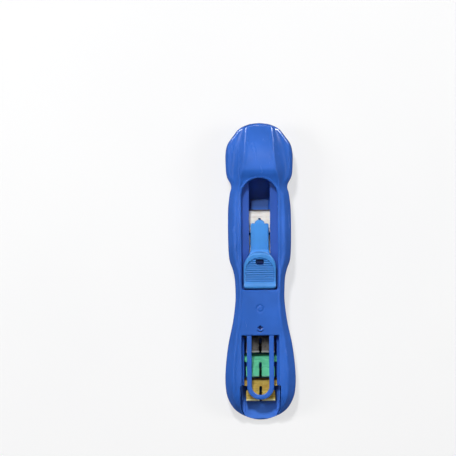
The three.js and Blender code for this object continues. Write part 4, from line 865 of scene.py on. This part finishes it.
def tongue():
    """The U-shaped springy tongue over the rear clips, with a catch and a tooth at its end."""
    g = Grid(*even((-6.4, -55.0, 6.9), (6.4, -26.4, 13.3), (0.17, 0.22, 0.17)))
    centre = TONGUE_END_Y + TONGUE_HALF
    root = WINDOW_Y - 0.04
    outer = [(TONGUE_HALF, root)] + arc(0, centre, TONGUE_HALF, 0, -math.pi, 50) + [(-TONGUE_HALF, root)]
    hole = [(TONGUE_WINDOW_HALF, root + 5)] + arc(0, centre, TONGUE_WINDOW_HALF, 0, -math.pi, 50)
    hole += [(-TONGUE_WINDOW_HALF, root + 5)]
    shape = without(plan(g, outer), plan(g, hole))
    top = TONGUE_ROOT_Z + 0.1 - TONGUE_SLOPE * (root - g.y) / (root - TONGUE_END_Y)
    blade = both(both(shape, g.z - top, 0.4), top - TONGUE_THICKNESS - g.z, 0.2)

    # Small catch at the end, and a tooth below it
    catch_height = 0.34
    catch = np.sqrt((g.x / 1.5) ** 2 + ((g.y - TONGUE_END_Y - 1.05) / 0.8) ** 2
                    + ((g.z - top) / catch_height) ** 2)
    blade = either(blade, (catch - 1) * catch_height, 0.2)
    tooth_y, end_top = -52.8, TONGUE_ROOT_Z - TONGUE_SLOPE
    tooth = profile(g, [(tooth_y - 0.6, end_top - 0.4), (tooth_y - 0.1, 7.3), (tooth_y + 0.6, 7.3),
                        (tooth_y + 0.6, end_top - 0.4)])
    blade = either(blade, both(tooth, np.abs(g.x) - TOOTH_HALF), 0.1)
    moulded("spring_tongue", blade, g, SHELL, "shell", "tongue", "loading_tongue")


# Clips

def folded_clip():
    """Points, quads and normals of one clip with its spine at Y = 0 and its middle plane at Z = 0."""
    g = Grid(*even((-7.6, -0.4, -2.7), (7.6, 10.3, 2.7), (0.22, 0.13, 0.09)))
    top, sheet, neck, neck_in = 2.4, 0.35, 8.65, 0.2
    outer = [(9.9, neck_in + sheet + 0.75), (neck + 0.15, neck_in + sheet + 0.08),
             (neck - 0.4, neck_in + sheet + 0.05), (0.6, top), (0.18, top - 0.15), (0, top - 0.6)]
    inner = [(sheet, top - sheet - 0.39), (sheet + 0.39, top - sheet), (neck - 0.4, neck_in),
             (neck + 0.15, neck_in + 0.02), (9.75, neck_in + 0.8)]
    loop = outer + [(y, -z) for y, z in outer[::-1]] + [(y, -z) for y, z in inner[::-1]] + inner
    strip = profile(g, loop)
    # Seen from above: the body, a notch each side, and the ears
    body_half, ear_half = 6.2, 7.3
    right = ([(body_half, -1), (body_half, 4.2)] + arc(5.9, 4.2, 0.3, 0, math.pi / 2, 5)
             + arc(5.85, 4.75, 0.25, 1.5 * math.pi, math.pi, 4)
             + arc(5.85, 6.15, 0.25, math.pi, math.pi / 2, 4)
             + arc(7.0, 6.7, 0.3, 1.5 * math.pi, 2 * math.pi, 5) + [(ear_half, 12)])
    shape = plan(g, right + [(-x, y) for x, y in right[::-1]])
    slot_half, slot_end = 0.5, 6.2
    slot = both(both(np.abs(g.x) - slot_half, g.y - slot_end, 0.35), -g.z - 1.6)
    return skin(without(both(strip, shape, 0.06), slot, 0.06), g)


def clips():
    """The row of clips, from the front one back."""
    points, quads, normals = folded_clip()
    finishes = {7: (GREEN, "clip_green"), 8: (GOLD, "clip_gold"), 6: (DARK_STEEL, "clip_steel")}
    for i in range(CLIP_COUNT):
        place = np.array([0, SPINE_Y - i * CLIP_PITCH, MID_Z])
        obj = mesh_object(f"folded_clip_{i + 1}", points + place, quads, normals)
        material, slot = finishes.get(i + 1, (STEEL_PAINTED_REFLECTION, "clip_steel"))
        obj.data.materials.append(material)
        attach(obj, "front_clip" if i == 0 else "clip_queue")
        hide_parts(f"clip_{i + 1}")


# Kept solids: their own shape with a small bevel and a plastic finish

def dress(node, material, width=0.12):
    """Give a kept solid its material and a bevel of the width, in millimetres."""
    obj = frame["nodes"][node]
    obj.data.materials.clear()
    obj.data.materials.append(material)
    bevel = obj.modifiers.new("edges", "BEVEL")
    bevel.width = width * MM
    bevel.segments = 2
    bevel.limit_method = "ANGLE"
    bevel.angle_limit = math.radians(35)
    bevel.harden_normals = True


# All the pieces

upper_shell()
lower_shell()
thumb_pad()
arm()
tongue()
clips()
dress("magazine_channel", TRAY)
dress("slide_track", SHADED_TRACK)
dress("slider_retainer", SHADED_RETAINER, 0.1)
for jaw, hand in itertools.product(("upper", "lower"), ("left", "right")):
    dress(f"{jaw}_jaw_rail_{hand}", SHADED_RAIL, 0.08)


# Floor, light and camera

FLOOR_GLOW = 0.61
AIM_Z = 0.012    # In metres: where the arc lamps aim, and where the camera's frame has its width


def floor():
    """A plain floor, pale to the camera, and darker to everything that it lights or that mirrors it."""
    n = Nodes("pale_floor")
    path = n.add("ShaderNodeLightPath")
    seen = path.outputs["Is Camera Ray"]
    pale = n.mix(n.spread(n.noise(9, 3), 0.3, 0.7, 0, 1), (0.32, 0.32, 0.325, 1), (0.34, 0.34, 0.34, 1))
    others = n.mix(path.outputs["Is Glossy Ray"], (0.5, 0.53, 0.6, 1), (0.12, 0.13, 0.16, 1))
    n.join(n.mix(seen, others, pale), n.shader.inputs["Base Color"])
    n.shader.inputs["Roughness"].default_value = 0.8
    n.shader.inputs["Specular IOR Level"].default_value = 0.1
    n.shader.inputs["Emission Color"].default_value = (1, 1, 1, 1)
    n.join(n.spread(seen, 0, 1, 0, FLOOR_GLOW), n.shader.inputs["Emission Strength"])
    size, level = 3000.0, -0.05
    corners = [(x * size, y * size, level) for x, y in ((-1, -1), (1, -1), (1, 1), (-1, 1))]
    plane = mesh_object("floor", corners, np.array([[0, 1, 2, 3]]))
    plane.data.materials.append(n.material)


def lamp(name, power, size, place, aim=(0, 0, 0), long=0.0, lights=True, mirrored=True):
    """A round lamp, or a strip where long is given. It can be left out of mirrored or of diffuse light."""
    data = bpy.data.lights.new(name, "AREA")
    data.shape = "RECTANGLE" if long else "DISK"
    data.size = long or size
    data.size_y = size
    data.energy = power
    obj = bpy.data.objects.new(name, data)
    bpy.context.scene.collection.objects.link(obj)
    obj.location = place
    obj.rotation_euler = (Vector(aim) - Vector(place)).to_track_quat("-Z", "Y").to_euler()
    obj.visible_camera = False
    obj.visible_diffuse = lights
    obj.visible_glossy = mirrored


def world(ambient, mirrored, background):
    """An even sky, with one strength for diffuse light, one in mirrors and one behind the object."""
    w = bpy.data.worlds.new("studio")
    bpy.context.scene.world = w
    w.use_nodes = True
    tree = w.node_tree
    tree.nodes.clear()
    out = tree.nodes.new("ShaderNodeOutputWorld")
    path = tree.nodes.new("ShaderNodeLightPath")
    shader = None
    for strength, ray in ((ambient, None), (mirrored, "Is Glossy Ray"), (background, "Is Camera Ray")):
        sky = tree.nodes.new("ShaderNodeBackground")
        sky.inputs["Color"].default_value = (0.97, 0.985, 1.0, 1) if ray is None else (1, 1, 1, 1)
        sky.inputs["Strength"].default_value = strength
        if ray is None:
            shader = sky.outputs[0]
            continue
        mix = tree.nodes.new("ShaderNodeMixShader")
        tree.links.new(path.outputs[ray], mix.inputs["Fac"])
        tree.links.new(shader, mix.inputs[1])
        tree.links.new(sky.outputs[0], mix.inputs[2])
        shader = mix.outputs[0]
    tree.links.new(shader, out.inputs["Surface"])


def camera():
    """Straight above, with a frame as wide as the photograph's. The object leans a little to the left."""
    frame_width, distance, lean = 0.1932, 3.0, math.radians(-0.41)
    along, across = -0.0135, 0.0185
    sensor = 36
    data = bpy.data.cameras.new("camera")
    data.sensor_width = sensor
    data.lens = sensor * distance / frame_width
    data.clip_start, data.clip_end = 0.05, 20
    obj = bpy.data.objects.new("camera", data)
    bpy.context.scene.collection.objects.link(obj)
    right, up = (math.cos(lean), math.sin(lean)), (-math.sin(lean), math.cos(lean))
    place = [along * r + across * u for r, u in zip(right, up)]
    obj.location = (*place, distance + AIM_Z)
    obj.rotation_euler = (0, 0, lean)
    bpy.context.scene.camera = obj


floor()
lamp("key", 4.6, 0.1, (-0.12, 0.48, 0.68), mirrored=False)
lamp("overhead", 0.9, 0.8, (0, 0, 1.6), lights=False)
lamp("left_fill", 2.2, 0.3, (-0.66, 0.1, 0.5), mirrored=False)
lamp("right_fill", 1.8, 0.3, (0.66, 0.1, 0.5), mirrored=False)
lamp("left_strip", 0.9, 0.05, (-0.3, 0.2, 1.05), long=1.3, lights=False)
lamp("right_strip", 0.5, 0.05, (0.3, 0.2, 1.05), long=1.3, lights=False)
for name, power, side in (("left_arc", 9.0, -1), ("right_arc", 12.0, 1)):
    lamp(name, power, 0.12, (side * 0.46, 0.62, 0.25), (0, 0.05, AIM_Z), long=0.28, lights=False)
lamp("front", 0.4, 0.1, (0, 0.72, 0.3), lights=False)
world(0.14, 0.05, 1.0)
camera()
bpy.context.scene.view_settings.view_transform = "Standard"
